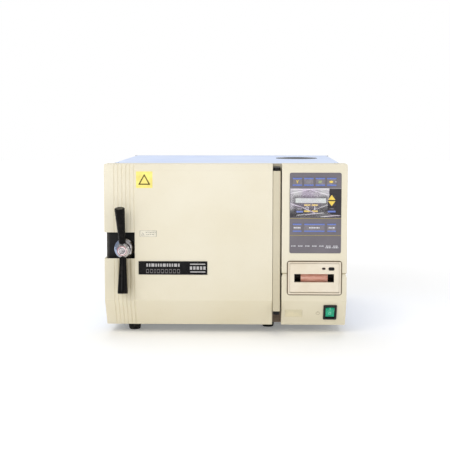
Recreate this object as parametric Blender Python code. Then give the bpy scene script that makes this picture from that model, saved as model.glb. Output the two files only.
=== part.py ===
"""Benchtop steam autoclave, modelled as separate parts.

Metres, +Z up. X runs to the right of a person who faces the door, the front faces -Y, and the
origin is on the bench under the middle of the machine. A depth is measured from the plane of
the front face towards the rear.
"""

import math

import bmesh
import bpy
from mathutils import Vector

# ---------------------------------------------------------------- driving dimensions
WIDTH = 0.510
HEIGHT = 0.365
BODY_DEPTH = 0.560
FRONT_Y = -0.26955         # plane of the front face
BOTTOM_Z = 0.020           # underside of the casing, at the top of the feet
GAP = 0.0003               # clearance between touching pieces
SHEET = 0.002              # steel sheet of the casing
SHELL = 0.003              # moulded front pieces

HALF_WIDTH = WIDTH / 2
TOP_CHAMFER_DEPTH = 0.005
TOP_CHAMFER_HEIGHT = 0.012
BOTTOM_CHAMFER_DEPTH = 0.035
BOTTOM_CHAMFER_HEIGHT = 0.057

DOOR_RIGHT = 0.0992
PANEL_LEFT = 0.1182
DOOR_DEPTH = 0.060
PLATE_DEPTH = 0.066        # front face of the structural front plate
PLATE_THICKNESS = 0.003
COVER_HALF_WIDTH = 0.2495
COVER_TOP = 0.364
COVER_START = PLATE_DEPTH + PLATE_THICKNESS + GAP
REAR_PANEL_DEPTH = BODY_DEPTH - SHEET
COVER_END = REAR_PANEL_DEPTH - GAP

CHAMBER_X = -0.07875
CHAMBER_Z = 0.1856
CHAMBER_RADIUS = 0.115
CHAMBER_WALL = 0.003
CHAMBER_FRONT = 0.062      # sealing face of the chamber's flange
CHAMBER_END = 0.537
HEAD_DEPTH = 0.025         # dish of the chamber's rear head
FLANGE_RADIUS = 0.124

HINGE_X = 0.1076
HINGE_DEPTH = 0.0078
COLUMN_SIZE = (0.0156, 0.0150)
COLUMN_ROUNDING = 0.003
BRACKET_RADIUS = 0.0069
COLUMN_BOTTOM = 0.055
COLUMN_TOP = 0.351
HINGE_PIN_RADIUS = 0.003

HANDLE_X = -0.2145
BRIDGE_DEPTH = 0.025       # front face of the steel bridge behind the door's moulding
BRIDGE_THICKNESS = 0.012
BRIDGE_LEFT = -0.2512
BRIDGE_TONGUE_LEFT = -0.2530   # the tongue that shows in the notch
BRIDGE_Z = (0.163, 0.220)
NOTCH_RIGHT = -0.1906
NOTCH_Z = (0.1663, 0.2215)
CATCH_DEPTH = 0.044
CATCH_WALL = 0.004
CATCH_X = (-0.2485, -0.2235)
BOLT_RADIUS = 0.006
PAWL_LENGTH = 0.024

HUB_BACK = BRIDGE_DEPTH - GAP
HUB_PROFILE = [            # (radius, depth), from the front boss to the rear flange
    (0, -0.0280), (0.0100, -0.0280), (0.0116, -0.0268), (0.0126, -0.0245), (0.0126, -0.0215),
    (0.0155, -0.0190), (0.0155, -0.0020), (0.0132, 0.0000), (0.0132, 0.0060), (0.0180, 0.0085),
    (0.0180, 0.0120), (0.0212, 0.0140), (0.0212, 0.0225), (0.0190, HUB_BACK), (0, HUB_BACK),
]
ARM_PROFILE = [            # (radius, distance from the hub's axis)
    (0, 0), (0.0072, 0), (0.0076, 0.030), (0.0092, 0.060), (0.0108, 0.0860), (0.0108, 0.0904),
    (0.0102, 0.0915), (0.0090, 0.0919), (0, 0.0919),
]
ARM_LEAN = math.radians(12.75)   # how far the arms lean towards the user
UPPER_ROLL = math.radians(-2.4)  # how each arm stands, turned about the hub's axis
LOWER_ROLL = math.radians(179.2)
ARM_DEPTH = -0.0105              # depth where the arms' centre lines meet the hub's axis

KEYPAD_X = 0.1883
KEYPAD_Z = 0.2631
KEYPAD_SIZE = (0.1075, 0.1686)
OVERLAY_THICKNESS = 0.002
LCD_CENTRE = (0.1783, 0.2893)
LCD_SIZE = (0.0636, 0.0100)

PRINTER_X = 0.1872
PRINTER_Z = 0.1262
PRINTER_SIZE = (0.1132, 0.0708)
PRINTER_DEPTH = 0.050
LID_SIZE = (0.1030, 0.0614)
LID_THICKNESS = 0.008
LID_FRONT = -0.0035        # ahead of the front plane
PRINTER_SEAT = 0.0018      # depth of the recess that the printer's frame sits in
PRINTER_MARGIN = 0.0013    # the recess is this much larger all round
BUTTON_SIZE = (0.0118, 0.0062)
WAIST_Z = (0.1370, 0.1348, 0.1280)    # top, deepest line and bottom of the groove round the panel
WAIST_DEPTH = 0.0025
ROLL_RADIUS = 0.018
ROLL_DEPTH = 0.027

SWITCH_X = 0.2213
SWITCH_PLACE = 0.446       # how far down the lower slope the switch sits
SWITCH_SIZE = (0.0283, 0.0402)
ROCKER_TILT = math.radians(8)

CAP_X = 0.1610
CAP_DEPTH = 0.366
CAP_RADIUS = 0.0495

RACK_HALF_WIDTH = 0.095
RACK_FLOOR = -0.060        # rack heights are measured from the chamber's axis
RAIL_LEVELS = {"lower": -0.050, "middle": -0.006, "upper": 0.038}
RACK_DEPTHS = (0.075, 0.440)
TRAY_DEPTHS = (0.077, 0.430)
RACK_SHEET = 0.0015
RAIL_WIDTH = 0.008

RESERVOIR_X = (0.075, 0.240)
RESERVOIR_DEPTHS = (0.235, 0.520)
RESERVOIR_Z = (0.195, 0.350)
RESERVOIR_WALL = 0.003
NECK_TOP = 0.3615
NECK_RADIUS = 0.045
VALVE_DEPTH = 0.470
FILL_VALVE_X = 0.095
EXHAUST_VALVE_X = 0.155
DRAIN_X = -0.190
DRAIN_Z = 0.062
INLET_X = 0.190
INLET_Z = 0.075
FITTING_END = 0.5800

FRONT_FEET = {"left": (-0.2015, 0.0885), "right": (0.0913, 0.1260)}
REAR_FEET = {"left": (-0.2015, 0.500), "right": (0.2015, 0.500)}
FOOT_RADIUS = 0.0155

# ---------------------------------------------------------------- finishes
# colour, roughness, metallic
FINISHES = {
    "cream_moulding": ((0.83, 0.78, 0.66), 0.42, 0.0),
    "blue_white_paint": ((0.66, 0.74, 0.82), 0.38, 0.0),
    "stainless_steel": ((0.62, 0.62, 0.60), 0.28, 1.0),
    "zinc_steel": ((0.50, 0.50, 0.48), 0.45, 1.0),
    "black_steel": ((0.03, 0.03, 0.03), 0.40, 0.6),
    "chrome": ((0.80, 0.80, 0.82), 0.08, 1.0),
    "bakelite": ((0.012, 0.012, 0.013), 0.28, 0.0),
    "rubber": ((0.015, 0.015, 0.015), 0.75, 0.0),
    "silicone": ((0.75, 0.20, 0.12), 0.60, 0.0),
    "brass": ((0.72, 0.52, 0.22), 0.30, 1.0),
    "copper": ((0.72, 0.38, 0.25), 0.30, 1.0),
    "glass_wool": ((0.62, 0.56, 0.42), 0.95, 0.0),
    "tank_plastic": ((0.70, 0.72, 0.70), 0.50, 0.0),
    "circuit_board": ((0.03, 0.22, 0.10), 0.45, 0.0),
    "membrane": ((0.20, 0.18, 0.19), 0.35, 0.0),
    "display": ((0.58, 0.64, 0.58), 0.15, 0.0),
    "cream_paint": ((0.80, 0.75, 0.63), 0.45, 0.0),
    "printer_plastic": ((0.78, 0.72, 0.60), 0.40, 0.0),
    "black_plastic": ((0.02, 0.02, 0.02), 0.40, 0.0),
    "green_plastic": ((0.02, 0.50, 0.26), 0.25, 0.0),
    "paper": ((0.78, 0.45, 0.38), 0.85, 0.0),
    "key_blue": ((0.16, 0.22, 0.60), 0.35, 0.0),
    "key_yellow": ((0.85, 0.65, 0.12), 0.35, 0.0),
}


def clear_scene():
    for obj in list(bpy.data.objects):
        bpy.data.objects.remove(obj, do_unlink=True)


# ---------------------------------------------------------------- building blocks
def y_at(depth):
    """The world Y of a plane this far behind the front face."""
    return FRONT_Y + depth


def make_material(name, finish):
    colour, roughness, metallic = FINISHES[finish]
    material = bpy.data.materials.new(name)
    material.use_nodes = True
    shader = material.node_tree.nodes["Principled BSDF"]
    shader.inputs["Base Color"].default_value = (*colour, 1.0)
    shader.inputs["Roughness"].default_value = roughness
    shader.inputs["Metallic"].default_value = metallic
    material.diffuse_color = (*colour, 1.0)
    return material


def make_object(name, shape, pivot=None, local=False):
    """Links a mesh object. Its points are world points unless local, and its origin is its pivot."""
    bmesh.ops.recalc_face_normals(shape, faces=shape.faces[:])
    if pivot is not None and not local:
        bmesh.ops.translate(shape, vec=-world_place(pivot), verts=shape.verts[:])
    mesh = bpy.data.meshes.new(name)
    shape.to_mesh(mesh)
    shape.free()
    obj = bpy.data.objects.new(name, mesh)
    bpy.context.scene.collection.objects.link(obj)
    obj.parent = pivot
    return obj


def part(name, shape, finish, pivot=None, local=False, smooth=False):
    obj = make_object(name, shape, pivot, local)
    obj.data.materials.append(make_material(f"{name}_{finish}", finish))
    if smooth:
        obj.data.shade_smooth()
        obj.data.set_sharp_from_angle(angle=math.radians(35))
    return obj


def make_pivot(name, place, parent=None, rotation=(0.0, 0.0, 0.0)):
    """An empty on a joint's axis. The pieces that turn about it are its children."""
    empty = bpy.data.objects.new(name, None)
    bpy.context.scene.collection.objects.link(empty)
    empty.parent = parent
    empty.location = Vector(place) - (world_place(parent) if parent else Vector())
    empty.rotation_euler = rotation
    return empty


def world_place(obj):
    """The world place of a pivot whose parents aren't turned."""
    place = Vector()
    while obj is not None:
        place += obj.location
        obj = obj.parent
    return place


def boolean(obj, shape, operation, pivot=None, local=False):
    """Adds a Boolean with a hidden tool made from this shape."""
    tool = make_object(f"{obj.name}_{operation.lower()}_{len(obj.modifiers)}", shape, pivot, local)
    tool.hide_render = True
    tool.display_type = "WIRE"
    modifier = obj.modifiers.new(f"{operation.lower()}_{len(obj.modifiers)}", "BOOLEAN")
    modifier.operation = operation
    modifier.solver = "EXACT"
    modifier.object = tool


def cut(obj, shape, pivot=None, local=False):
    boolean(obj, shape, "DIFFERENCE", pivot, local)


def weld_on(obj, shape, pivot=None, local=False):
    boolean(obj, shape, "UNION", pivot, local)


def bevel(obj, width, segments=2, angle=math.radians(25)):
    modifier = obj.modifiers.new("bevel", "BEVEL")
    modifier.width = width
    modifier.segments = segments
    modifier.limit_method = "ANGLE"
    modifier.angle_limit = angle


def extrude(shape, outline, axis, start, end):
    """Adds a closed prism. The outline lies across the axis, in the order XY, XZ or YZ."""
    def place(pair, along):
        spots = {"X": (along, *pair), "Y": (pair[0], along, pair[1]), "Z": (*pair, along)}
        return spots[axis]

    rings = [[shape.verts.new(place(pair, along)) for pair in outline] for along in (start, end)]
    for ring in rings:
        shape.faces.new(ring)
    count = len(outline)
    for i in range(count):
        j = (i + 1) % count
        shape.faces.new((rings[0][i], rings[0][j], rings[1][j], rings[1][i]))


def prism(outline, axis, start, end):
    shape = bmesh.new()
    extrude(shape, outline, axis, start, end)
    return shape


def add_block(shape, x, y, z):
    extrude(shape, [(x[0], z[0]), (x[1], z[0]), (x[1], z[1]), (x[0], z[1])], "Y", y[0], y[1])


def block(x, depth, z):
    """A box from ranges of X, depth behind the front face, and Z."""
    shape = bmesh.new()
    add_block(shape, x, (y_at(depth[0]), y_at(depth[1])), z)
    return shape


def local_block(size, low, high):
    """A box centred on its own X and Y, from low to high along its own Z."""
    half_x = size[0] / 2
    half_y = size[1] / 2
    shape = bmesh.new()
    add_block(shape, (-half_x, half_x), (-half_y, half_y), (low, high))
    return shape


def centred_span(centre, length):
    return (centre - length / 2, centre + length / 2)


def add_turned(shape, profile, axis, centre, segments):
    """Adds a body of revolution from (radius, place along the axis) points.

    A profile that starts and ends on the axis is closed by it, and any other one is a ring.
    """
    across = {"X": (1, 2, 0), "Y": (0, 2, 1), "Z": (0, 1, 2)}[axis]
    rings = []
    for radius, along in profile:
        ring = []
        for step in range(1 if radius == 0 else segments):
            angle = 2 * math.pi * step / segments
            point = Vector(centre)
            point[across[0]] += radius * math.cos(angle)
            point[across[1]] += radius * math.sin(angle)
            point[across[2]] += along
            ring.append(shape.verts.new(point))
        rings.append(ring)
    is_ring = profile[0][0] > 0
    pairs = list(zip(rings, rings[1:]))
    if is_ring:
        pairs.append((rings[-1], rings[0]))
    for first, second in pairs:
        for step in range(segments):
            after = (step + 1) % segments
            corners = []
            for ring, place in ((first, step), (first, after), (second, after), (second, step)):
                vertex = ring[place % len(ring)]
                if vertex not in corners:
                    corners.append(vertex)
            if len(corners) > 2:
                shape.faces.new(corners)


def turned(profile, axis, centre, segments=32):
    shape = bmesh.new()
    add_turned(shape, profile, axis, centre, segments)
    return shape


def rod(radius, axis, centre, start, end, segments=24):
    """A plain cylinder from start to end along the axis, measured from its centre point."""
    return turned([(0, start), (radius, start), (radius, end), (0, end)], axis, centre, segments)


def rounded_rectangle(centre, size, radius, steps=4):
    outline = []
    for corner, (side_x, side_y) in enumerate(((1, 1), (-1, 1), (-1, -1), (1, -1))):
        for step in range(steps + 1):
            angle = math.pi / 2 * (corner + step / steps)
            outline.append((
                centre[0] + side_x * (size[0] / 2 - radius) + radius * math.cos(angle),
                centre[1] + side_y * (size[1] / 2 - radius) + radius * math.sin(angle),
            ))
    return outline


def arc(centre, radius, start, end, steps):
    """Points on a circle from one angle to another, in degrees."""
    points = []
    for step in range(steps + 1):
        angle = math.radians(start + (end - start) * step / steps)
        points.append((centre[0] + radius * math.cos(angle), centre[1] + radius * math.sin(angle)))
    return points


def offset_path(points, distance):
    """An open path moved to its left by this distance, with mitred corners."""
    path = [Vector(point) for point in points]
    normals = []
    for first, second in zip(path, path[1:]):
        along = (second - first).normalized()
        normals.append(Vector((-along.y, along.x)))
    moved = []
    for i, point in enumerate(path):
        before = normals[max(i - 1, 0)]
        after = normals[min(i, len(normals) - 1)]
        moved.append(tuple(point + (before + after) * (distance / (1 + before.dot(after)))))
    return moved


def rounded_route(corners, radius, steps=5):
    """A route through 3-D corners with each bend rounded to this radius."""
    corners = [Vector(corner) for corner in corners]
    route = [corners[0]]
    for before, corner, after in zip(corners, corners[1:], corners[2:]):
        arrive = (corner - before).normalized()
        leave = (after - corner).normalized()
        turn = arrive.angle(leave)
        reach = radius * math.tan(turn / 2)
        middle = corner + (leave - arrive).normalized() * (radius / math.cos(turn / 2))
        start = corner - arrive * reach - middle
        end = corner + leave * reach - middle
        for step in range(steps + 1):
            route.append(middle + start.slerp(end, step / steps).normalized() * radius)
    route.append(corners[-1])
    return route


def tube(name, route, radius, finish, closed=False):
    """A round tube along a route, as a curve with a bevel."""
    curve = bpy.data.curves.new(name, "CURVE")
    curve.dimensions = "3D"
    curve.bevel_depth = radius
    curve.bevel_resolution = 2
    curve.use_fill_caps = True
    spline = curve.splines.new("POLY")
    spline.points.add(len(route) - 1)
    for point, place in zip(spline.points, route):
        point.co = (*place, 1.0)
    spline.use_cyclic_u = closed
    obj = bpy.data.objects.new(name, curve)
    bpy.context.scene.collection.objects.link(obj)
    obj.data.materials.append(make_material(f"{name}_{finish}", finish))
    return obj


# ---------------------------------------------------------------- casing
def front_outline(back):
    """The outer side outline of a front moulding in (y, z), from its top rear edge round its
    face to its bottom rear edge."""
    return [
        (y_at(back), HEIGHT),
        (y_at(TOP_CHAMFER_DEPTH), HEIGHT),
        (FRONT_Y, HEIGHT - TOP_CHAMFER_HEIGHT),
        (FRONT_Y, BOTTOM_Z + BOTTOM_CHAMFER_HEIGHT),
        (y_at(BOTTOM_CHAMFER_DEPTH), BOTTOM_Z),
        (y_at(back), BOTTOM_Z),
    ]


def front_moulding(name, left, right, back, pivot=None):
    """A moulded front shell, open at the rear, with chamfers along its top and bottom."""
    shell = part(name, prism(front_outline(back), "X", left, right), "cream_moulding", pivot)
    bevel(shell, 0.0015)
    inside = offset_path(front_outline(back + 0.010), SHELL)
    cut(shell, prism(inside, "X", left + SHELL, right - SHELL), pivot)
    return shell


def make_base_pan():
    """A folded steel pan whose side flanges stand inside the cover."""
    flange_out = COVER_HALF_WIDTH - SHEET - GAP
    flange_in = flange_out - SHEET
    flange_top = BOTTOM_Z + 0.030
    floor_top = BOTTOM_Z + SHEET
    right_side = [
        (COVER_HALF_WIDTH, BOTTOM_Z),
        (COVER_HALF_WIDTH, floor_top),
        (flange_out, floor_top),
        (flange_out, flange_top),
        (flange_in, flange_top),
        (flange_in, floor_top),
    ]
    outline = right_side + [(-x, z) for x, z in reversed(right_side)]
    part("base_pan", prism(outline, "Y", y_at(COVER_START), y_at(COVER_END)), "zinc_steel")


def make_top_cover():
    """The painted cover: a roof and two sides, with the filler hole in the roof."""
    radius = 0.007

    def shell_side(inset):
        """One side from its foot to the roof, then the same mirrored."""
        x = COVER_HALF_WIDTH - inset
        top = COVER_TOP - inset
        bend = radius - inset
        corner = arc((x - bend, top - bend), bend, 0, 90, 5)
        right_side = [(x, BOTTOM_Z + SHEET + GAP)] + corner
        return right_side + [(-px, pz) for px, pz in reversed(right_side)]

    outline = shell_side(0) + list(reversed(shell_side(SHEET)))
    cover = part("top_cover", prism(outline, "Y", y_at(COVER_START), y_at(COVER_END)),
                 "blue_white_paint", smooth=True)
    hole_radius = CAP_RADIUS + 0.0007
    cut(cover, rod(hole_radius, "Z", (CAP_X, y_at(CAP_DEPTH), COVER_TOP), -0.01, 0.01, 48))


def make_rear_panel():
    panel = part(
        "rear_panel",
        block((-COVER_HALF_WIDTH, COVER_HALF_WIDTH), (REAR_PANEL_DEPTH, BODY_DEPTH),
              (BOTTOM_Z, COVER_TOP)),
        "zinc_steel")
    slots = bmesh.new()
    rows = 9
    for row in range(rows):
        z = 0.230 + row * 0.012
        add_block(slots, (0.080, 0.200), (y_at(REAR_PANEL_DEPTH) - 0.01, y_at(BODY_DEPTH) + 0.01),
                  (z, z + 0.005))
    cut(panel, slots)
    through = (-0.01, 0.01)
    centre_y = y_at(REAR_PANEL_DEPTH)
    cut(panel, rod(0.0145, "Y", (CHAMBER_X, centre_y, CHAMBER_Z), *through))
    cut(panel, rod(0.0085, "Y", (DRAIN_X, centre_y, DRAIN_Z), *through))
    cut(panel, block(centred_span(INLET_X, 0.0475), (REAR_PANEL_DEPTH - 0.01, BODY_DEPTH + 0.01),
                     centred_span(INLET_Z, 0.0275)))


def make_front_plate():
    """The structural plate behind the door, with the hole that the chamber passes through."""
    plate = part(
        "front_plate",
        block((-COVER_HALF_WIDTH, COVER_HALF_WIDTH), (PLATE_DEPTH, PLATE_DEPTH + PLATE_THICKNESS),
              (BOTTOM_Z, COVER_TOP)),
        "cream_paint")
    hole_radius = CHAMBER_RADIUS + CHAMBER_WALL + 0.001
    cut(plate, rod(hole_radius, "Y", (CHAMBER_X, y_at(PLATE_DEPTH), CHAMBER_Z), -0.01, 0.02, 64))


def make_feet():
    sole = FOOT_RADIUS - 0.0045
    profile = [(0, 0), (sole, 0), (sole + 0.0012, 0.0012), (FOOT_RADIUS, BOTTOM_Z - GAP),
               (0, BOTTOM_Z - GAP)]
    for end, feet in (("front", FRONT_FEET), ("rear", REAR_FEET)):
        for side, (x, depth) in feet.items():
            part(f"foot_{end}_{side}", turned(profile, "Z", (x, y_at(depth), 0), 24), "rubber",
                 smooth=True)


# ---------------------------------------------------------------- chamber
def head_depth(radius, wall):
    """The depth of the dished rear head at this radius, on its inner face plus a wall."""
    full = CHAMBER_RADIUS + wall
    start = CHAMBER_END - HEAD_DEPTH
    return start + (HEAD_DEPTH + wall) * math.sqrt(max(0.0, 1 - (radius / full) ** 2))


def head_profile(wall, steps=8):
    """The dished head from its rim to the axis."""
    full = CHAMBER_RADIUS + wall
    points = []
    for step in range(steps):
        radius = full * math.cos(math.pi / 2 * step / steps)
        points.append((radius, head_depth(radius, wall)))
    points.append((0, head_depth(0, wall)))
    return points


def make_chamber():
    """The pressure vessel: a flange, a drawn tube and a dished head, open at the front."""
    outer_radius = CHAMBER_RADIUS + CHAMBER_WALL
    flange_back = PLATE_DEPTH - GAP
    inside = list(reversed(head_profile(0)))
    front = [
        (CHAMBER_RADIUS, CHAMBER_FRONT),
        (FLANGE_RADIUS, CHAMBER_FRONT),
        (FLANGE_RADIUS, flange_back),
        (outer_radius, flange_back),
    ]
    profile = inside + front + head_profile(CHAMBER_WALL)
    part("chamber_vessel", turned(profile, "Y", (CHAMBER_X, FRONT_Y, CHAMBER_Z), 56),
         "stainless_steel", smooth=True)


def make_jacket():
    inner = CHAMBER_RADIUS + CHAMBER_WALL + 0.002
    outer = inner + 0.015
    start = 0.073
    end = 0.505
    ring = [(inner, start), (outer, start), (outer, end), (inner, end)]
    part("insulation_jacket", turned(ring, "Y", (CHAMBER_X, FRONT_Y, CHAMBER_Z), 40),
         "glass_wool", smooth=True)


def make_heater():
    """A looped heating element that rests on the chamber's wall under the rack."""
    tube_radius = 0.004
    half_width = 0.040
    reach = CHAMBER_RADIUS - tube_radius - GAP
    z = CHAMBER_Z - math.sqrt(reach ** 2 - half_width ** 2) + 0.0004
    left = CHAMBER_X - half_width
    right = CHAMBER_X + half_width
    ends = (y_at(0.110), y_at(0.450))
    loop = arc((CHAMBER_X, ends[1] - half_width), half_width, 0, 180, 12)
    loop += arc((CHAMBER_X, ends[0] + half_width), half_width, 180, 360, 12)
    route = [(min(max(x, left), right), y, z) for x, y in loop]
    tube("heater_element", route, tube_radius, "stainless_steel", closed=True)


def make_rack():
    """A folded rack with a pair of rails at each level."""
    inner = RACK_HALF_WIDTH - RACK_SHEET
    side = [(RACK_HALF_WIDTH, RACK_FLOOR), (RACK_HALF_WIDTH, 0.060), (inner, 0.060)]
    for level in sorted(RAIL_LEVELS.values(), reverse=True):
        side += [
            (inner, level),
            (inner - RAIL_WIDTH, level),
            (inner - RAIL_WIDTH, level - RACK_SHEET),
            (inner, level - RACK_SHEET),
        ]
    side.append((inner, RACK_FLOOR + RACK_SHEET))
    outline = side + [(-x, z) for x, z in reversed(side)]
    outline = [(CHAMBER_X + x, CHAMBER_Z + z) for x, z in outline]
    rack = part("tray_rack", prism(outline, "Y", y_at(RACK_DEPTHS[0]), y_at(RACK_DEPTHS[1])),
                "stainless_steel")
    windows = bmesh.new()
    bays = 3
    bay = (RACK_DEPTHS[1] - RACK_DEPTHS[0]) / bays
    for number in range(bays):
        middle = y_at(RACK_DEPTHS[0] + bay * (number + 0.5))
        depths = centred_span(middle, bay - 0.030)
        add_block(windows, centred_span(CHAMBER_X, 0.14), depths,
                  (CHAMBER_Z + RACK_FLOOR - 0.01, CHAMBER_Z + RACK_FLOOR + 0.005))
        for level in RAIL_LEVELS.values():
            bottom = CHAMBER_Z + level + 0.006
            heights = (bottom, bottom + (0.028 if level < 0.03 else 0.010))
            add_block(windows, centred_span(CHAMBER_X, 0.25), depths, heights)
    cut(rack, windows)


def make_trays():
    """Shallow pans that rest on the rails."""
    outer = RACK_HALF_WIDTH - RACK_SHEET - 0.0008
    for name, level in RAIL_LEVELS.items():
        bottom = CHAMBER_Z + level + GAP
        tray = part(f"tray_{name}", block(centred_span(CHAMBER_X, 2 * outer), TRAY_DEPTHS,
                                          (bottom, bottom + 0.016)), "stainless_steel")
        inside = block(centred_span(CHAMBER_X, 2 * (outer - RACK_SHEET)),
                       (TRAY_DEPTHS[0] + RACK_SHEET, TRAY_DEPTHS[1] - RACK_SHEET),
                       (bottom + RACK_SHEET, bottom + 0.030))
        cut(tray, inside)


# ---------------------------------------------------------------- water and steam


def make_reservoir():
    tank = part("water_reservoir", block(RESERVOIR_X, RESERVOIR_DEPTHS, RESERVOIR_Z),
                "tank_plastic")
    bevel(tank, 0.004)
    centre = (CAP_X, y_at(CAP_DEPTH), 0)
    weld_on(tank, rod(NECK_RADIUS, "Z", centre, RESERVOIR_Z[1] - 0.0015, NECK_TOP, 40))
    inset = RESERVOIR_WALL
    cut(tank, block((RESERVOIR_X[0] + inset, RESERVOIR_X[1] - inset),
                    (RESERVOIR_DEPTHS[0] + inset, RESERVOIR_DEPTHS[1] - inset),
                    (RESERVOIR_Z[0] + inset, RESERVOIR_Z[1] - inset)))
    cut(tank, rod(NECK_RADIUS - RESERVOIR_WALL, "Z", centre, RESERVOIR_Z[1] - 0.020,
                  NECK_TOP + 0.010, 40))


def make_reservoir_cap():
    """The filler cap: a flush disc on the neck, a plug inside it, and two finger pockets."""
    pivot = make_pivot("reservoir_cap_pivot", (CAP_X, y_at(CAP_DEPTH), NECK_TOP))
    rim_bottom = NECK_TOP + GAP
    plug_radius = NECK_RADIUS - RESERVOIR_WALL - 0.0006
    profile = [
        (0, 0.345), (plug_radius - 0.001, 0.345), (plug_radius, 0.346),
        (plug_radius, rim_bottom), (CAP_RADIUS, rim_bottom), (CAP_RADIUS, HEIGHT - 0.0008),
        (CAP_RADIUS - 0.0008, HEIGHT), (0, HEIGHT),
    ]
    cap = part("reservoir_cap", turned(profile, "Z", (CAP_X, y_at(CAP_DEPTH), 0), 48),
               "black_plastic", pivot, smooth=True)
    pockets = bmesh.new()
    for side in (-1, 1):
        outline = arc((CAP_X, y_at(CAP_DEPTH)), 0.034, 12 * side, 168 * side, 10)
        extrude(pockets, outline, "Z", HEIGHT - 0.012, HEIGHT + 0.005)
    cut(cap, pockets, pivot)


def make_valves():
    """Two solenoid valves on the floor and the spring safety valve behind the chamber."""
    floor = BOTTOM_Z + SHEET + GAP
    profile = [
        (0, 0), (0.013, 0), (0.013, 0.026), (0.007, 0.028), (0.007, 0.032), (0.017, 0.033),
        (0.017, 0.066), (0.008, 0.067), (0.008, 0.072), (0, 0.072),
    ]
    for name, x in (("fill_valve", FILL_VALVE_X), ("exhaust_valve", EXHAUST_VALVE_X)):
        part(name, turned(profile, "Z", (x, y_at(VALVE_DEPTH), floor), 24), "brass", smooth=True)
    start = head_depth(0, CHAMBER_WALL) + GAP
    safety = [
        (0, start), (0.010, start), (0.010, start + 0.008), (0.013, start + 0.009),
        (0.013, BODY_DEPTH + 0.004), (0.009, BODY_DEPTH + 0.006), (0.009, BODY_DEPTH + 0.014),
        (0.011, BODY_DEPTH + 0.015), (0.011, FITTING_END - 0.001), (0.010, FITTING_END),
        (0, FITTING_END),
    ]
    part("safety_valve", turned(safety, "Y", (CHAMBER_X, FRONT_Y, CHAMBER_Z), 24), "brass",
         smooth=True)


def make_pipes():
    """Copper pipes from each solenoid valve to the chamber's rear head."""
    pipe_radius = 0.004
    floor = BOTTOM_Z + SHEET + GAP
    back = 0.550
    runs = (("fill_pipe", FILL_VALVE_X, 0.008, 0.040, -0.050),
            ("exhaust_pipe", EXHAUST_VALVE_X, 0.022, 0.060, 0.010))
    for name, valve_x, rise, port_x, port_z in runs:
        port_radius = math.hypot(port_x + pipe_radius, abs(port_z) + pipe_radius)
        port_depth = head_depth(port_radius - 2 * pipe_radius, CHAMBER_WALL) + GAP
        port = (CHAMBER_X + port_x, CHAMBER_Z + port_z)
        z = floor + rise
        corners = [
            (valve_x, y_at(VALVE_DEPTH) + 0.0135, z),
            (valve_x, y_at(back), z),
            (port[0], y_at(back), z),
            (port[0], y_at(back), port[1]),
            (port[0], y_at(port_depth), port[1]),
        ]
        tube(name, rounded_route(corners, 0.008), pipe_radius, "copper")


def make_drain():
    """The drain tap on the rear panel, with its quarter-turn lever."""
    centre = (DRAIN_X, FRONT_Y, DRAIN_Z)
    nut = BODY_DEPTH + GAP
    body = [
        (0, 0.535), (0.0082, 0.535), (0.0082, nut), (0.013, nut), (0.013, nut + 0.006),
        (0.009, nut + 0.0075), (0.009, nut + 0.011), (0, nut + 0.011),
    ]
    part("drain_valve", turned(body, "Y", centre, 24), "brass", smooth=True)
    start = y_at(nut + 0.011 + GAP)
    end = y_at(FITTING_END - 0.002)
    pivot = make_pivot("drain_lever_pivot", (DRAIN_X, start, DRAIN_Z))
    outline = arc((DRAIN_X, DRAIN_Z), 0.009, 30, -210, 12)
    outline += [(DRAIN_X - 0.0055, DRAIN_Z + 0.030), (DRAIN_X + 0.0055, DRAIN_Z + 0.030)]
    lever = part("drain_lever", prism(outline, "Y", start, end), "black_steel", pivot)
    bevel(lever, 0.0008, 1)


def make_mains_inlet():
    """The three-pin inlet socket, with its flange on the rear panel."""
    flange = BODY_DEPTH + GAP
    inlet = part("mains_inlet",
                 prism(rounded_rectangle((INLET_X, INLET_Z), (0.058, 0.036), 0.003), "Y",
                       y_at(flange), y_at(flange + 0.003)), "black_plastic")
    weld_on(inlet, block(centred_span(INLET_X, 0.0465), (0.535, flange + 0.001),
                         centred_span(INLET_Z, 0.0265)))
    cut(inlet, prism(rounded_rectangle((INLET_X, INLET_Z), (0.024, 0.0165), 0.003), "Y",
                     y_at(flange - 0.014), y_at(flange + 0.01)))
    pins = bmesh.new()
    for x, z in ((-0.007, -0.002), (0.0, 0.002), (0.007, -0.002)):
        add_block(pins, centred_span(INLET_X + x, 0.002),
                  (y_at(flange - 0.016), y_at(flange - 0.001)), centred_span(INLET_Z + z, 0.004))
    weld_on(inlet, pins)


# ---------------------------------------------------------------- control panel
def key_layout():
    """Every key as name: (x, z, width, height, finish)."""
    keys = {}
    pitch = 0.0238
    first = KEYPAD_X - 0.0381
    for number in range(4):
        keys[f"key_program_{number + 1}"] = (first + number * pitch, 0.3287, 0.0202, 0.0165,
                                             "key_blue")
    column = KEYPAD_X + 0.0337
    keys["key_up"] = (column, 0.2962, 0.0168, 0.0115, "key_yellow")
    keys["key_down"] = (column, 0.2832, 0.0168, 0.0115, "key_yellow")
    keys["key_enter"] = (column, 0.2702, 0.0168, 0.0105, "key_blue")
    keys["key_time"] = (KEYPAD_X - 0.0172, 0.2737, 0.0134, 0.0160, "key_yellow")
    keys["key_temperature"] = (KEYPAD_X - 0.0016, 0.2737, 0.0134, 0.0160, "key_yellow")
    keys["key_menu"] = (KEYPAD_X - 0.0330, 0.2700, 0.0144, 0.0110, "key_blue")
    keys["key_dry"] = (KEYPAD_X - 0.0381, 0.2325, 0.0190, 0.0170, "key_blue")
    keys["key_start"] = (KEYPAD_X - 0.0020, 0.2325, 0.0434, 0.0170, "key_blue")
    keys["key_stop"] = (KEYPAD_X + 0.0340, 0.2325, 0.0187, 0.0170, "key_blue")
    return keys


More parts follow.
